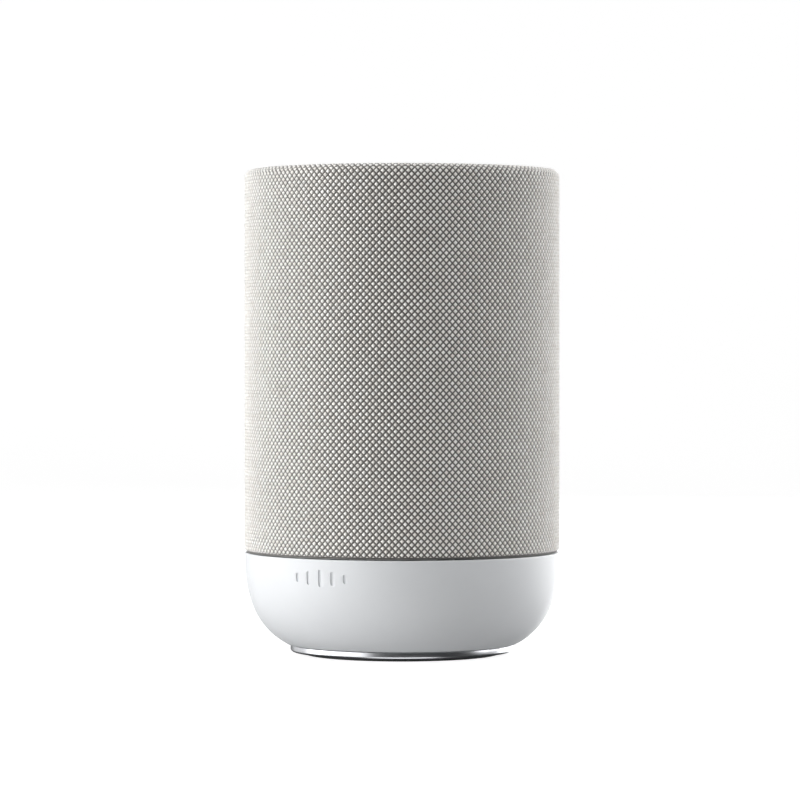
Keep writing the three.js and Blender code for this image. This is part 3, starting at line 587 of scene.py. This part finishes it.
def sleevePath():
    # lengths and curves of the cloth in the (radius, height) plane, from the hem up and over the rim
    low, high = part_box("fabric_sleeve")
    outside = high[0] - knotHeight
    top = high[2] - knotHeight
    hem = sleeve["hemRadius"]
    hemHeight = low[2] + knotHeight + sleeve["hemClearance"]
    edge = sleeve["topEdgeRadius"] - knotHeight
    fold = sleeve["foldRadius"]
    foldEdge = high[0] - sleeve["rimWidth"]

    def line(start, end):
        start, end = Vector(start), Vector(end)
        return (end - start).length, lambda share: start.lerp(end, share)

    def arc(centre, radius, begin, finish):
        sweep = math.radians(finish - begin)

        def point(share):
            angle = math.radians(begin) + sweep * share
            return Vector((centre[0] + radius * math.cos(angle), centre[1] + radius * math.sin(angle)))

        return abs(sweep) * radius, point

    return [
        arc((outside - hem, hemHeight), hem, -sleeve["hemTurn"], 0),
        line((outside, hemHeight), (outside, top - edge)),
        arc((outside - edge, top - edge), edge, 0, 90),
        line((outside - edge, top), (foldEdge + fold, top)),
        arc((foldEdge + fold, top - fold), fold, 90, 180),
        line((foldEdge, top - fold), (foldEdge, high[2] - sleeve["tuckDepth"])),
    ]


def alongPath(path, distance):
    for length, point in path:
        if distance <= length:
            return point(distance / length)
        distance -= length
    return path[-1][1](1)


def weaveSleeve():
    path = sleevePath()
    clothLength = sum(length for length, _ in path)
    random.seed(sleeve["seed"])
    bm = bmesh.new()
    bmesh.ops.create_grid(
        bm, x_segments=sleeve["columns"], y_segments=sleeve["rows"], size=1, calc_uvs=True
    )
    for vert in bm.verts:
        angle = (vert.co.x + 1) / 2 * fullTurn
        radius, height = alongPath(path, (vert.co.y + 1) / 2 * clothLength)
        vert.co = (radius * math.cos(angle), radius * math.sin(angle), height)
    bmesh.ops.remove_doubles(bm, verts=bm.verts, dist=1e-6)

    # each cell's middle joins its corners, and the old cell edges go, which leaves staggered diamonds
    cellEdges = bm.edges[:]
    bmesh.ops.poke(bm, faces=bm.faces[:])
    inner = [edge for edge in cellEdges if len(edge.link_faces) == 2]
    bmesh.ops.dissolve_edges(bm, edges=inner, use_verts=False, use_face_split=False)
    bmesh.ops.recalc_face_normals(bm, faces=bm.faces)
    knots = bm.faces[:]
    # crown: height from gap to knot top, which the cloth material turns into painted shade
    crown = bm.verts.layers.float.new("crown")
    yarn = bm.verts.layers.float.new("yarn")
    bmesh.ops.inset_individual(
        bm, faces=knots, thickness=sleeve["gapShare"], depth=-sleeve["gapDepth"], use_even_offset=True
    )
    for vert in {vert for knot in knots for vert in knot.verts}:
        vert[crown] = sleeve["footShade"]
    bmesh.ops.inset_individual(
        bm, faces=knots, thickness=sleeve["sideWidth"], depth=sleeve["sideHeight"] + sleeve["gapDepth"],
        use_even_offset=True,
    )
    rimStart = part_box("fabric_sleeve")[1][2] - sleeve["topEdgeRadius"]
    for knot in knots:
        shade = random.random()
        pressed = sleeve["rimPress"] if knot.calc_center_median().z > rimStart else 0
        inwards = -knot.normal * pressed
        for vert in knot.verts:
            vert[crown] = 1
            vert[yarn] = shade
            loose = Vector([random.uniform(-1, 1) for _ in range(3)]) * sleeve["looseness"]
            vert.co += inwards + loose
    return bm, clothLength


def sewPanel(name, bm, side):
    # one half of the sleeve: the front or the back of the drum
    others = [face for face in bm.faces if face.calc_center_median().y * side < 0]
    bmesh.ops.delete(bm, geom=others, context="FACES")
    piece = newMesh(name, bm, 180)
    finishPiece(piece, "sleeve_fabric", ["fabric_sleeve"])


weave, clothLength = weaveSleeve()
sewPanel("fabric_weave_front", weave.copy(), -1)
sewPanel("fabric_weave_back", weave, 1)
print("sleeve woven")


# base shell
bowl = {
    "footRadius": 50.9 * mm,
    "footPull": 19.4 * mm,
    "footAngle": math.radians(27.2),
    "topPull": 13.5 * mm,
    "wall": 2.4 * mm,
    "openingRadius": 44 * mm,
    "curveSteps": 40,
    "turnSteps": 240,
    "rimRounding": 0.35 * mm,
    "rimCorner": 0.3,  # of the rim's rounding, where its middle point lies
    "floorClearance": 1 * mm,
    "portDepth": 80 * mm,
    "windowHalfWidth": 24.5 * mm,
    "windowBottom": 14.7 * mm,
    "windowTop": 38 * mm,
    "windowCorner": 3 * mm,
    "edgeRounding": 0.12 * mm,
}

soundMark = {
    # five rounded bars pressed into the front of the bowl
    "barHeights": [3.8, 5.8, 7.4, 5.8, 3.8],
    "barWidth": 1.6 * mm,
    "barSpacing": 6 * mm,
    "middleHeight": 36.8 * mm,
    "turn": math.radians(-30.5),  # from the front towards the left
    "lean": math.radians(4.6),
    "depth": 0.6 * mm,
    "cutterReach": 6 * mm,
    "endSlack": 0.01 * mm,
}


def bowlCurve(inset=0.0):
    # the bowl's outline from foot to rim, moved inwards by the inset
    low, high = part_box("base_shell")
    foot = Vector((bowl["footRadius"], low[2]))
    lower = foot + bowl["footPull"] * Vector((math.cos(bowl["footAngle"]), math.sin(bowl["footAngle"])))
    rim = Vector((high[0], high[2]))
    upper = rim - Vector((0, bowl["topPull"]))
    points = []
    for step in range(bowl["curveSteps"] + 1):
        share = step / bowl["curveSteps"]
        rest = 1 - share
        point = rest**3 * foot + 3 * rest**2 * share * lower + 3 * rest * share**2 * upper + share**3 * rim
        along = rest**2 * (lower - foot) + 2 * rest * share * (upper - lower) + share**2 * (rim - upper)
        along.normalize()
        points.append((point.x - inset * along.y, point.y + inset * along.x))
    return points


def soundMarkCutter(surfaceRadius):
    bm = bmesh.new()
    count = len(soundMark["barHeights"])
    reach = soundMark["cutterReach"]
    for index, height in enumerate(soundMark["barHeights"]):
        width = soundMark["barWidth"]
        before = set(bm.verts)
        corner = width / 2 - soundMark["endSlack"]
        roundedBlock((width, reach, height * mm), (0, 0, 0), corner, segments=5, bm=bm)
        own = [vert for vert in bm.verts if vert not in before]
        lean = Matrix.Rotation(soundMark["lean"], 4, "X")
        face = -surfaceRadius - reach / 2 + soundMark["depth"]
        shift = Matrix.Translation((0, face, soundMark["middleHeight"]))
        offset = (index - (count - 1) / 2) * soundMark["barSpacing"] / surfaceRadius
        spot = Matrix.Rotation(soundMark["turn"] + offset, 4, "Z")
        bmesh.ops.transform(bm, matrix=spot @ shift @ lean, verts=own)
    return newMesh("soundMarkCutter", bm)


def radiusAt(height):
    # the bowl's outer radius at a height
    points = bowlCurve()
    for (innerRadius, lowHeight), (outerRadius, highHeight) in zip(points, points[1:]):
        if lowHeight <= height <= highHeight:
            share = (height - lowHeight) / (highHeight - lowHeight)
            return innerRadius + share * (outerRadius - innerRadius)
    return points[-1][0]


def portCutter():
    bottom, top, depth = bowl["windowBottom"], bowl["windowTop"], bowl["portDepth"]
    size = (2 * bowl["windowHalfWidth"], depth, top - bottom)
    return newMesh("portCutter", roundedBlock(size, (0, depth, (top + bottom) / 2), bowl["windowCorner"]))


def mouldBase():
    low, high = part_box("base_shell")
    floorTop = low[2] + bowl["wall"]
    inside = [point for point in bowlCurve(bowl["wall"]) if point[1] > floorTop + bowl["floorClearance"]]
    rounding = bowl["rimRounding"]
    outer = bowlCurve()
    outer[-1] = (high[0], high[2] - rounding)
    corner = rounding * bowl["rimCorner"]
    outline = outer + [(high[0] - corner, high[2] - corner), (high[0] - rounding, high[2])]
    outline += inside[::-1]
    outline += [
        (bowl["footRadius"], floorTop), (bowl["openingRadius"], floorTop), (bowl["openingRadius"], low[2])
    ]
    piece = newMesh("base_bowl", turnOutline(outline, bowl["turnSteps"]))
    boolean(piece, portCutter())
    boolean(piece, soundMarkCutter(radiusAt(soundMark["middleHeight"])))
    bevelEdges(piece, bowl["edgeRounding"])
    finishPiece(piece, "shell_plastic", ["base_shell"])


mouldBase()
print("base moulded")


# foot ring and pad
foot = {
    "ringInner": 45 * mm,
    "lowerEdge": 1.2 * mm,
    "upperEdge": 0.25 * mm,
    "padInner": 34 * mm,
    "padRounding": 0.4 * mm,
    "turnSteps": 240,
}


def turnRing():
    low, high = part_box("foot_ring")
    edge, lip = foot["lowerEdge"], foot["upperEdge"]
    outline = [(foot["ringInner"], low[2])]
    outline += arcPoints((high[0] - edge, low[2] + edge), edge, -90, 0, 10)
    outline += arcPoints((high[0] - lip, high[2] - lip), lip, 0, 90, 4)
    outline += [(foot["ringInner"], high[2])]
    piece = newMesh("foot_ring_turned", turnOutline(outline, foot["turnSteps"]))
    finishPiece(piece, "ring_metal", ["foot_ring"])


def mouldPad():
    low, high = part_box("foot_pad")
    bm = turnOutline([
        (foot["padInner"], low[2]), (high[0], low[2]), (high[0], high[2]), (foot["padInner"], high[2])
    ], foot["turnSteps"])
    softenEdges(bm, foot["padRounding"], 3)
    piece = newMesh("foot_pad_rubber", bm)
    finishPiece(piece, "rubber", ["foot_pad"])


turnRing()
mouldPad()
print("foot made")


# seam gasket, top plate and light pipe
topCap = {
    "thickness": 2 * mm,
    "skirtWall": 2.5 * mm,
    "edge": 0.6 * mm,
    "holeRounding": 0.22 * mm,
    "micOffset": 50 * mm,
    "micRadius": 0.6 * mm,
    "lightLength": 10 * mm,
    "lightWidth": 1.6 * mm,
    "lightOffset": 27 * mm,
    "pipeGap": 0.3 * mm,
    "gasketWall": 1.8 * mm,
    "gasketRounding": 0.15 * mm,
    "flangeThickness": 1 * mm,
    "pipeCorner": 0.9 * mm,
    "pipeRounding": 0.12 * mm,
    "turnSteps": 200,
}


def turnGasket():
    low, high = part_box("seam_gasket")
    inner = high[0] - topCap["gasketWall"]
    outline = [(inner, low[2]), (high[0], low[2]), (high[0], high[2]), (inner, high[2])]
    bm = turnOutline(outline, topCap["turnSteps"])
    softenEdges(bm, topCap["gasketRounding"], 2)
    # its dark finish doubles as the painted shade of the seam between cloth and base
    finishPiece(newMesh("seam_gasket_ring", bm), "rubber", ["seam_gasket"], finish="gasket_foam")


def mouldTopPlate():
    low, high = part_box("top_plate")
    edge, inner, bottom = topCap["edge"], high[0] - topCap["skirtWall"], high[2] - topCap["thickness"]
    outline = [(0, bottom), (inner, bottom), (inner, low[2]), (high[0], low[2])]
    outline += arcPoints((high[0] - edge, high[2] - edge), edge, 0, 90, 5) + [(0, high[2])]
    piece = newMesh("top_plate_moulded", turnOutline(outline, topCap["turnSteps"]))
    holes = bmesh.new()
    through = 4 * topCap["thickness"]
    for name in keyNames:
        centre, radius = keyPlace(name)
        disc(radius + keyCap["gap"], through, (centre.x, centre.y, high[2]), segments=96, bm=holes)
    for side in (-1, 1):
        disc(topCap["micRadius"], through, (side * topCap["micOffset"], 0, high[2]), segments=24, bm=holes)
    length, width = topCap["lightLength"], topCap["lightWidth"]
    lightPlace = (0, -topCap["lightOffset"], high[2])
    roundedBlock((length, width, through), lightPlace, width * endRounding, "Z", 8, holes)
    boolean(piece, newMesh("topHoles", holes))
    bevelEdges(piece, topCap["holeRounding"])
    finishPiece(piece, "shell_plastic", ["top_plate"])


def mouldLightPipe():
    low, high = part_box("status_light_pipe")
    length = topCap["lightLength"] - 2 * topCap["pipeGap"]
    width = topCap["lightWidth"] - 2 * topCap["pipeGap"]
    middle = (low + high) / 2
    bm = roundedBlock((length, width, high[2] - low[2]), middle, width * endRounding, "Z", 8)
    piece = newMesh("status_light_lens", bm)
    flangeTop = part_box("top_plate")[1][2] - topCap["thickness"] - topCap["pipeGap"]
    thickness = topCap["flangeThickness"]
    flangeSize = (high[0] - low[0], high[1] - low[1], thickness)
    flangePlace = (middle.x, middle.y, flangeTop - thickness / 2)
    flange = roundedBlock(flangeSize, flangePlace, topCap["pipeCorner"], "Z", 6)
    boolean(piece, newMesh("pipeFlange", flange), "UNION")
    bevelEdges(piece, topCap["pipeRounding"])
    finishPiece(piece, "light_pipe", ["status_light_pipe"])


# keys
keyCap = {
    "gap": 0.3 * mm,
    "flange": 1.2 * mm,
    "flangeThickness": 1 * mm,
    "stemRadius": 1.6 * mm,
    "edge": 0.6 * mm,
    "dish": 0.3 * mm,
    "dishSteps": 6,
    "turnSteps": 96,
    "iconDepth": 0.28 * mm,
    "iconFill": 0.14 * mm,  # thickness of the dark inlay at the bottom of an icon
    "stroke": 0.75 * mm,
    "playSize": 2.3 * mm,
    "barLength": 5 * mm,
    "triangleOffset": 0.7,  # these three in icon sizes, from the icon's middle
    "barOffset": 0.75,
    "pauseLength": 1.7,
    "strokeRounding": 0.3,  # of a stroke's width
    "smoothAngle": 25,
    "dotRadius": 0.48 * mm,
    "dotSpacing": 1.9 * mm,
    "inlayFit": 0.04 * mm,
    "cutterHeight": 2 * mm,
}
keyNames = [name for name in frame["nodes"] if name.startswith("key_")]


def keyPlace(name):
    low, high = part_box(name)
    return (low + high) / 2, (high[0] - low[0]) / 2 - keyCap["flange"]


def crossIcon(bm, length, stroke, depth):
    made = bmesh.ops.create_cube(bm, size=1)["verts"]
    bmesh.ops.scale(bm, verts=made, vec=(stroke, stroke, depth))
    sides = [face for face in bm.faces if abs(face.normal.z) < 0.5]
    arms = bmesh.ops.extrude_discrete_faces(bm, faces=sides)["faces"]
    for face in arms:
        bmesh.ops.translate(bm, verts=face.verts, vec=face.normal * (length - stroke) / 2)


def playPauseIcon(bm, size, stroke, depth):
    # a triangle beside two bars
    turn = Matrix.Rotation(-math.pi / 2, 4, "Z")
    bmesh.ops.create_cone(
        bm, cap_ends=True, segments=3, radius1=size, radius2=size, depth=depth,
        matrix=Matrix.Translation((-keyCap["triangleOffset"] * size, 0, 0)) @ turn,
    )
    first = keyCap["barOffset"] * size
    corner = stroke * keyCap["strokeRounding"]
    for offset in (first, first + 2 * stroke):
        roundedBlock((stroke, keyCap["pauseLength"] * size, depth), (offset, 0, 0), corner, "Z", 3, bm)


def iconMesh(name, depth, shrink=0.0):
    stroke = keyCap["stroke"] - shrink
    bm = bmesh.new()
    if name == "key_play":
        playPauseIcon(bm, keyCap["playSize"] - shrink, stroke, depth)
    elif name == "key_volume_up":
        crossIcon(bm, keyCap["barLength"] - shrink, stroke, depth)
    elif name == "key_volume_down":
        size = (keyCap["barLength"] - shrink, stroke, depth)
        roundedBlock(size, (0, 0, 0), stroke * keyCap["strokeRounding"], "Z", 3, bm)
    else:
        count = int(name[-1])
        for index in range(count):
            offset = (index - (count - 1) / 2) * keyCap["dotSpacing"]
            disc(keyCap["dotRadius"] - shrink / 2, depth, (offset, 0, 0), segments=24, bm=bm)
    bmesh.ops.recalc_face_normals(bm, faces=bm.faces)
    return bm


def mouldKey(name):
    low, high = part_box(name)
    centre, radius = keyPlace(name)
    crown, edge, stem = high[2], keyCap["edge"], keyCap["stemRadius"]
    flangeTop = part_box("top_plate")[1][2] - topCap["thickness"] - keyCap["gap"]
    flangeBottom = flangeTop - keyCap["flangeThickness"]
    reach = radius + keyCap["flange"]
    outline = [(0, low[2]), (stem, low[2]), (stem, flangeBottom), (reach, flangeBottom)]
    outline += [(reach, flangeTop), (radius, flangeTop)]
    outline += arcPoints((radius - edge, crown - edge), edge, 0, 90, 5)
    for step in range(1, keyCap["dishSteps"] + 1):
        share = 1 - step / keyCap["dishSteps"]
        outline.append(((radius - edge) * share, crown - keyCap["dish"] * (1 - share**2)))
    bm = turnOutline(outline, keyCap["turnSteps"])
    bmesh.ops.translate(bm, verts=bm.verts, vec=(centre.x, centre.y, 0))
    piece = newMesh(name + "_cap", bm)
    body = name if name in frame["bodies"] else "root"

    floor = crown - keyCap["dish"] - keyCap["iconDepth"]
    cutterHeight = keyCap["cutterHeight"]
    cut = iconMesh(name, cutterHeight)
    bmesh.ops.translate(cut, verts=cut.verts, vec=(centre.x, centre.y, floor + cutterHeight / 2))
    boolean(piece, newMesh("iconCutter", cut))
    shadeSmooth(piece, keyCap["smoothAngle"])
    finishPiece(piece, "key_plastic", [name], body)

    fill = iconMesh(name, keyCap["iconFill"], keyCap["inlayFit"])
    bmesh.ops.translate(fill, verts=fill.verts, vec=(centre.x, centre.y, floor + keyCap["iconFill"] / 2))
    finishPiece(newMesh(name + "_icon", fill), "socket_plastic", [], body)


turnGasket()
mouldTopPlate()
mouldLightPipe()
for name in keyNames:
    mouldKey(name)
print("top finished")


# bottom plate
underside = {
    "standoffRadius": 2.5 * mm,
    "screwCircle": 39 * mm,
    "screwAngles": [45, 135, 225, 315],
    "headRadius": 3.1 * mm,
    "headSeat": 1.6 * mm,
    "plateTop": 4.3 * mm,
    "standoffRooting": 0.6 * mm,
    "labelCorner": 2 * mm,
    "edge": 0.1 * mm,
    "grooveRadii": [24 * mm, 31 * mm],
    "grooveWidth": 0.8 * mm,
    "grooveDepth": 0.35 * mm,
    "labelSize": (30 * mm, 18 * mm),
    "standoffs": [(-18, -28), (18, -28), (-18, 32), (18, 32)],
}


def mouldBottomPlate():
    low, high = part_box("bottom_plate")
    top = underside["plateTop"]
    outline = [(0, low[2]), (high[0], low[2]), (high[0], top), (0, top)]
    piece = newMesh("bottom_plate_moulded", turnOutline(outline))
    posts = bmesh.new()
    for x, y in underside["standoffs"]:
        rise = high[2] - top + underside["standoffRooting"]
        disc(underside["standoffRadius"], rise, (x * mm, y * mm, high[2] - rise / 2), segments=32, bm=posts)
    boolean(piece, newMesh("standoffs", posts), "UNION")
    cuts = bmesh.new()
    for angle in underside["screwAngles"]:
        turn = math.radians(angle)
        x, y = underside["screwCircle"] * math.cos(turn), underside["screwCircle"] * math.sin(turn)
        disc(underside["headRadius"], 2 * underside["headSeat"], (x, y, low[2]), segments=48, bm=cuts)
    width, height = underside["labelSize"]
    depth = 2 * underside["grooveDepth"]
    roundedBlock((width, height, depth), (0, 0, low[2]), underside["labelCorner"], "Z", 6, cuts)
    boolean(piece, newMesh("seats", cuts))
    for radius in underside["grooveRadii"]:
        half = underside["grooveWidth"] / 2
        ring = turnOutline([
            (radius - half, low[2] - depth / 2), (radius + half, low[2] - depth / 2),
            (radius + half, low[2] + depth / 2), (radius - half, low[2] + depth / 2),
        ])
        boolean(piece, newMesh("groove", ring))
    bevelEdges(piece, underside["edge"])
    finishPiece(piece, "frame_plastic", ["bottom_plate"])


mouldBottomPlate()
print("underside finished")


# rear panel and its sockets
rear = {
    "panelCorner": 2.7 * mm,
    "recessCorner": 2.4 * mm,
    "floorThickness": 2 * mm,
    "wall": 2.2 * mm,
    "fit": 0.3 * mm,  # round each socket and button
    "edge": 0.18 * mm,
    "fineEdge": 0.08 * mm,
    "past": 1 * mm,  # how far a cutter runs beyond the face it cuts
    "panelReach": 20 * mm,
    "inletCorner": 0.9 * mm,
    "wellSize": (15.4 * mm, 8.4 * mm),
    "wellDepth": 11 * mm,
    "wellRounding": 0.495,  # of the well's height
    "usbWall": 0.4 * mm,
    "contactCount": 10,
    "contactPitch": 0.6 * mm,
    "contactSize": (0.3 * mm, 3.2 * mm, 0.06 * mm),
    "contactInset": 2.4 * mm,
    "contactCorner": 0.1 * mm,
    "tongueCorner": 0.15 * mm,
    "pinTip": 0.5 * mm,
    "auxBore": 1.75 * mm,
    "auxDepth": 7 * mm,
    "auxRing": (0.6 * mm, 0.6 * mm),  # width and depth of the metal ring in the jack's mouth
    "auxRingFit": 0.02 * mm,
    "auxRingLip": 0.15 * mm,
    "auxMouth": 0.3 * mm,
    "pairFlange": 0.7 * mm,
    "pairEdge": 0.5 * mm,
    "pairDish": 0.2 * mm,
    "knobSize": (3.4 * mm, 1.8 * mm),
    "knobTravel": 3 * mm,
    "knobRidges": 4,
    "knobCorner": 0.35 * mm,
    "knobRooting": 0.3 * mm,
    "grooveSize": (0.3 * mm, 0.6 * mm, 4 * mm),
    "grooveCorner": 0.1 * mm,
    "knobEdge": 0.06 * mm,
    "slotCorner": 0.5 * mm,
    "sideFlange": 1 * mm,
}


def middleOf(name):
    low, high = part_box(name)
    return (low + high) / 2, high - low


def blockAlongY(size, x, z, front, back, corner, bm=None):
    # front and back are the nearer and further y
    place = (x, (front + back) / 2, z)
    return roundedBlock((size[0], back - front, size[1]), place, corner, "Y", 6, bm)


def turnAlongY(name, outline, x, z, steps=64):
    # outline heights run along +Y
    bm = turnOutline(outline, steps)
    bmesh.ops.transform(
        bm, matrix=Matrix.Translation((x, 0, z)) @ Matrix.Rotation(-math.pi / 2, 4, "X"), verts=bm.verts
    )
    return newMesh(name, bm)


def mouldRearPanel():
    low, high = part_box("rear_panel")
    middle = (low + high) / 2
    size = (high[0] - low[0], high[2] - low[2])
    floorFace = low[1] + rear["floorThickness"]
    beyond = high[1] + rear["panelReach"]
    tray = blockAlongY(size, middle.x, middle.z, low[1], beyond, rear["panelCorner"])
    piece = newMesh("rear_panel_tray", tray)
    shellLow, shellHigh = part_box("base_shell")
    solid = [(0, shellLow[2])] + bowlCurve() + [(0, shellHigh[2])]
    boolean(piece, newMesh("bowlSolid", turnOutline(solid, bowl["turnSteps"])), "INTERSECT")
    inner = (size[0] - 2 * rear["wall"], size[1] - 2 * rear["wall"])
    recess = blockAlongY(inner, middle.x, middle.z, floorFace, beyond, rear["recessCorner"])
    boolean(piece, newMesh("recess", recess))
    cuts = bmesh.new()
    front, back = low[1] - rear["past"], floorFace + rear["past"]
    gap = 2 * rear["fit"]
    inlet, inletSize = middleOf("power_inlet")
    inletHole = (inletSize.x + gap, inletSize.z + gap)
    blockAlongY(inletHole, inlet.x, inlet.z, front, back, rear["inletCorner"], cuts)
    usb, usbSize = middleOf("usb_c_shell")
    usbHole = (usbSize.x + gap, usbSize.z + gap)
    blockAlongY(usbHole, usb.x, usb.z, front, back, usbHole[1] * endRounding, cuts)
    for name, flange in (("aux_jack", 0), ("pair_button", rear["pairFlange"])):
        spot, spotSize = middleOf(name)
        radius = spotSize.x / 2 - flange + rear["fit"]
        disc(radius, back - front, (spot.x, (front + back) / 2, spot.z), "Y", 64, cuts)
    knob, _ = middleOf("mic_switch_knob")
    slot = (rear["knobSize"][0] + rear["knobTravel"] + gap, rear["knobSize"][1] + gap)
    blockAlongY(slot, knob.x + rear["knobTravel"] / 2, knob.z, front, back, rear["slotCorner"], cuts)
    boolean(piece, newMesh("socketHoles", cuts))
    bevelEdges(piece, rear["edge"])
    finishPiece(piece, "shell_plastic", ["rear_panel"])


def mouldInlet():
    low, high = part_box("power_inlet")
    middle, size = middleOf("power_inlet")
    block = blockAlongY((size.x, size.z), middle.x, middle.z, low[1], high[1], rear["inletCorner"])
    piece = newMesh("power_inlet_body", block)
    wellSize = rear["wellSize"]
    front, back = high[1] - rear["wellDepth"], high[1] + rear["past"]
    corner = wellSize[1] * rear["wellRounding"]
    well = blockAlongY(wellSize, middle.x, middle.z, front, back, corner)
    boolean(piece, newMesh("well", well))
    bevelEdges(piece, rear["edge"])
    finishPiece(piece, "socket_plastic", ["power_inlet"])
    for name in ("inlet_pin_left", "inlet_pin_right"):
        low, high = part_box(name)
        middle, size = middleOf(name)
        radius = size.x / 2
        tip = rear["pinTip"]
        outline = [(0, low[1]), (radius, low[1])]
        outline += arcPoints((radius - tip, high[1] - tip), tip, 0, 90, 4) + [(0, high[1])]
        finishPiece(turnAlongY(name + "_turned", outline, middle.x, middle.z, 32), "contact_metal", [name])


def pressUsbSocket():
    low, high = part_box("usb_c_shell")
    middle, size = middleOf("usb_c_shell")
    wall = rear["usbWall"]
    shell = blockAlongY((size.x, size.z), middle.x, middle.z, low[1], high[1], size.z * endRounding)
    piece = newMesh("usb_c_shell_pressed", shell)
    inner = (size.x - 2 * wall, size.z - 2 * wall)
    front, back = low[1] + wall, high[1] + rear["past"]
    hollow = blockAlongY(inner, middle.x, middle.z, front, back, inner[1] * endRounding)
    boolean(piece, newMesh("usbHollow", hollow))
    bevelEdges(piece, rear["fineEdge"])
    finishPiece(piece, "contact_metal", ["usb_c_shell"])

    low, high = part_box("usb_c_tongue")
    middle, size = middleOf("usb_c_tongue")
    bm = blockAlongY((size.x, size.z), middle.x, middle.z, low[1], high[1], rear["tongueCorner"])
    softenEdges(bm, rear["fineEdge"], 2, 60)
    finishPiece(newMesh("usb_c_tongue_moulded", bm), "socket_plastic", ["usb_c_tongue"])
    contacts = bmesh.new()
    for index in range(rear["contactCount"]):
        x = middle.x + (index - (rear["contactCount"] - 1) / 2) * rear["contactPitch"]
        for side in (-1, 1):
            face = middle.z + side * size.z / 2
            place = (x, high[1] - rear["contactInset"], face)
            roundedBlock(rear["contactSize"], place, rear["contactCorner"], "Z", 2, contacts)
    finishPiece(newMesh("usb_c_contacts", contacts), "contact_metal")


def turnAuxJack():
    low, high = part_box("aux_jack")
    middle, size = middleOf("aux_jack")
    back, mouth = low[1], high[1]
    outside, bore = size.x / 2, rear["auxBore"]
    ringWidth, ringDepth = rear["auxRing"]
    outline = [(0, back), (outside, back)]
    rounding = rear["auxMouth"]
    outline += arcPoints((outside - rounding, mouth - rounding), rounding, 0, 90, 4)
    outline += [
        (bore + ringWidth, mouth), (bore + ringWidth, mouth - ringDepth), (bore, mouth - ringDepth),
        (bore, mouth - rear["auxDepth"]), (0, mouth - rear["auxDepth"]),
    ]
    finishPiece(turnAlongY("aux_jack_body", outline, middle.x, middle.z), "socket_plastic", ["aux_jack"])
    lip = rear["auxRingLip"]
    rim = bore + ringWidth - rear["auxRingFit"]
    ring = [(bore, mouth - ringDepth), (rim, mouth - ringDepth)]
    ring += arcPoints((rim - lip, mouth - lip), lip, 0, 90, 3)
    ring += arcPoints((bore + lip, mouth - lip), lip, 90, 180, 3)
    finishPiece(turnAlongY("aux_jack_ring", ring, middle.x, middle.z), "contact_metal")


def mouldPairButton():
    low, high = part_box("pair_button")
    middle, size = middleOf("pair_button")
    reach = size.x / 2
    radius = reach - rear["pairFlange"]
    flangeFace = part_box("rear_panel")[0][1] - rear["fit"]
    edge = rear["pairEdge"]
    outline = [(0, low[1]), (radius, low[1]), (radius, flangeFace - rear["sideFlange"])]
    outline += [(reach, flangeFace - rear["sideFlange"]), (reach, flangeFace), (radius, flangeFace)]
    outline += arcPoints((radius - edge, high[1] - edge), edge, 0, 90, 5) + [(0, high[1] - rear["pairDish"])]
    piece = turnAlongY("pair_button_cap", outline, middle.x, middle.z)
    finishPiece(piece, "key_plastic", ["pair_button"], "pair_button")


def mouldMicSwitch():
    low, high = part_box("mic_switch_knob")
    middle, size = middleOf("mic_switch_knob")
    flangeFace = low[1] + rear["sideFlange"]
    slider = blockAlongY((size.x, size.z), middle.x, middle.z, low[1], flangeFace, rear["slotCorner"])
    piece = newMesh("mic_switch_slider", slider)
    foot = flangeFace - rear["knobRooting"]
    knob = blockAlongY(rear["knobSize"], middle.x, middle.z, foot, high[1], rear["knobCorner"])
    boolean(piece, newMesh("knob", knob), "UNION")
    grooves = bmesh.new()
    pitch = rear["knobSize"][0] / (rear["knobRidges"] + 0.5)
    for index in range(rear["knobRidges"] - 1):
        x = middle.x + (index - (rear["knobRidges"] - 2) / 2) * pitch
        place = (x, high[1], middle.z)
        roundedBlock(rear["grooveSize"], place, rear["grooveCorner"], "Z", 2, grooves)
    boolean(piece, newMesh("grooves", grooves))
    bevelEdges(piece, rear["knobEdge"])
    finishPiece(piece, "key_plastic", ["mic_switch_knob"], "mic_switch_knob")


mouldRearPanel()
mouldInlet()
pressUsbSocket()
turnAuxJack()
mouldPairButton()
mouldMicSwitch()
print("rear sockets finished")


# CAD nodes that stay as they are
for entry in frame["record"]["subparts"]:
    finish = finishes.get(entry["material_slot"])
    if finish:
        node = frame["nodes"][entry["node"]]
        node.data.materials.clear()
        node.data.materials.append(finish)
print("CAD nodes finished")
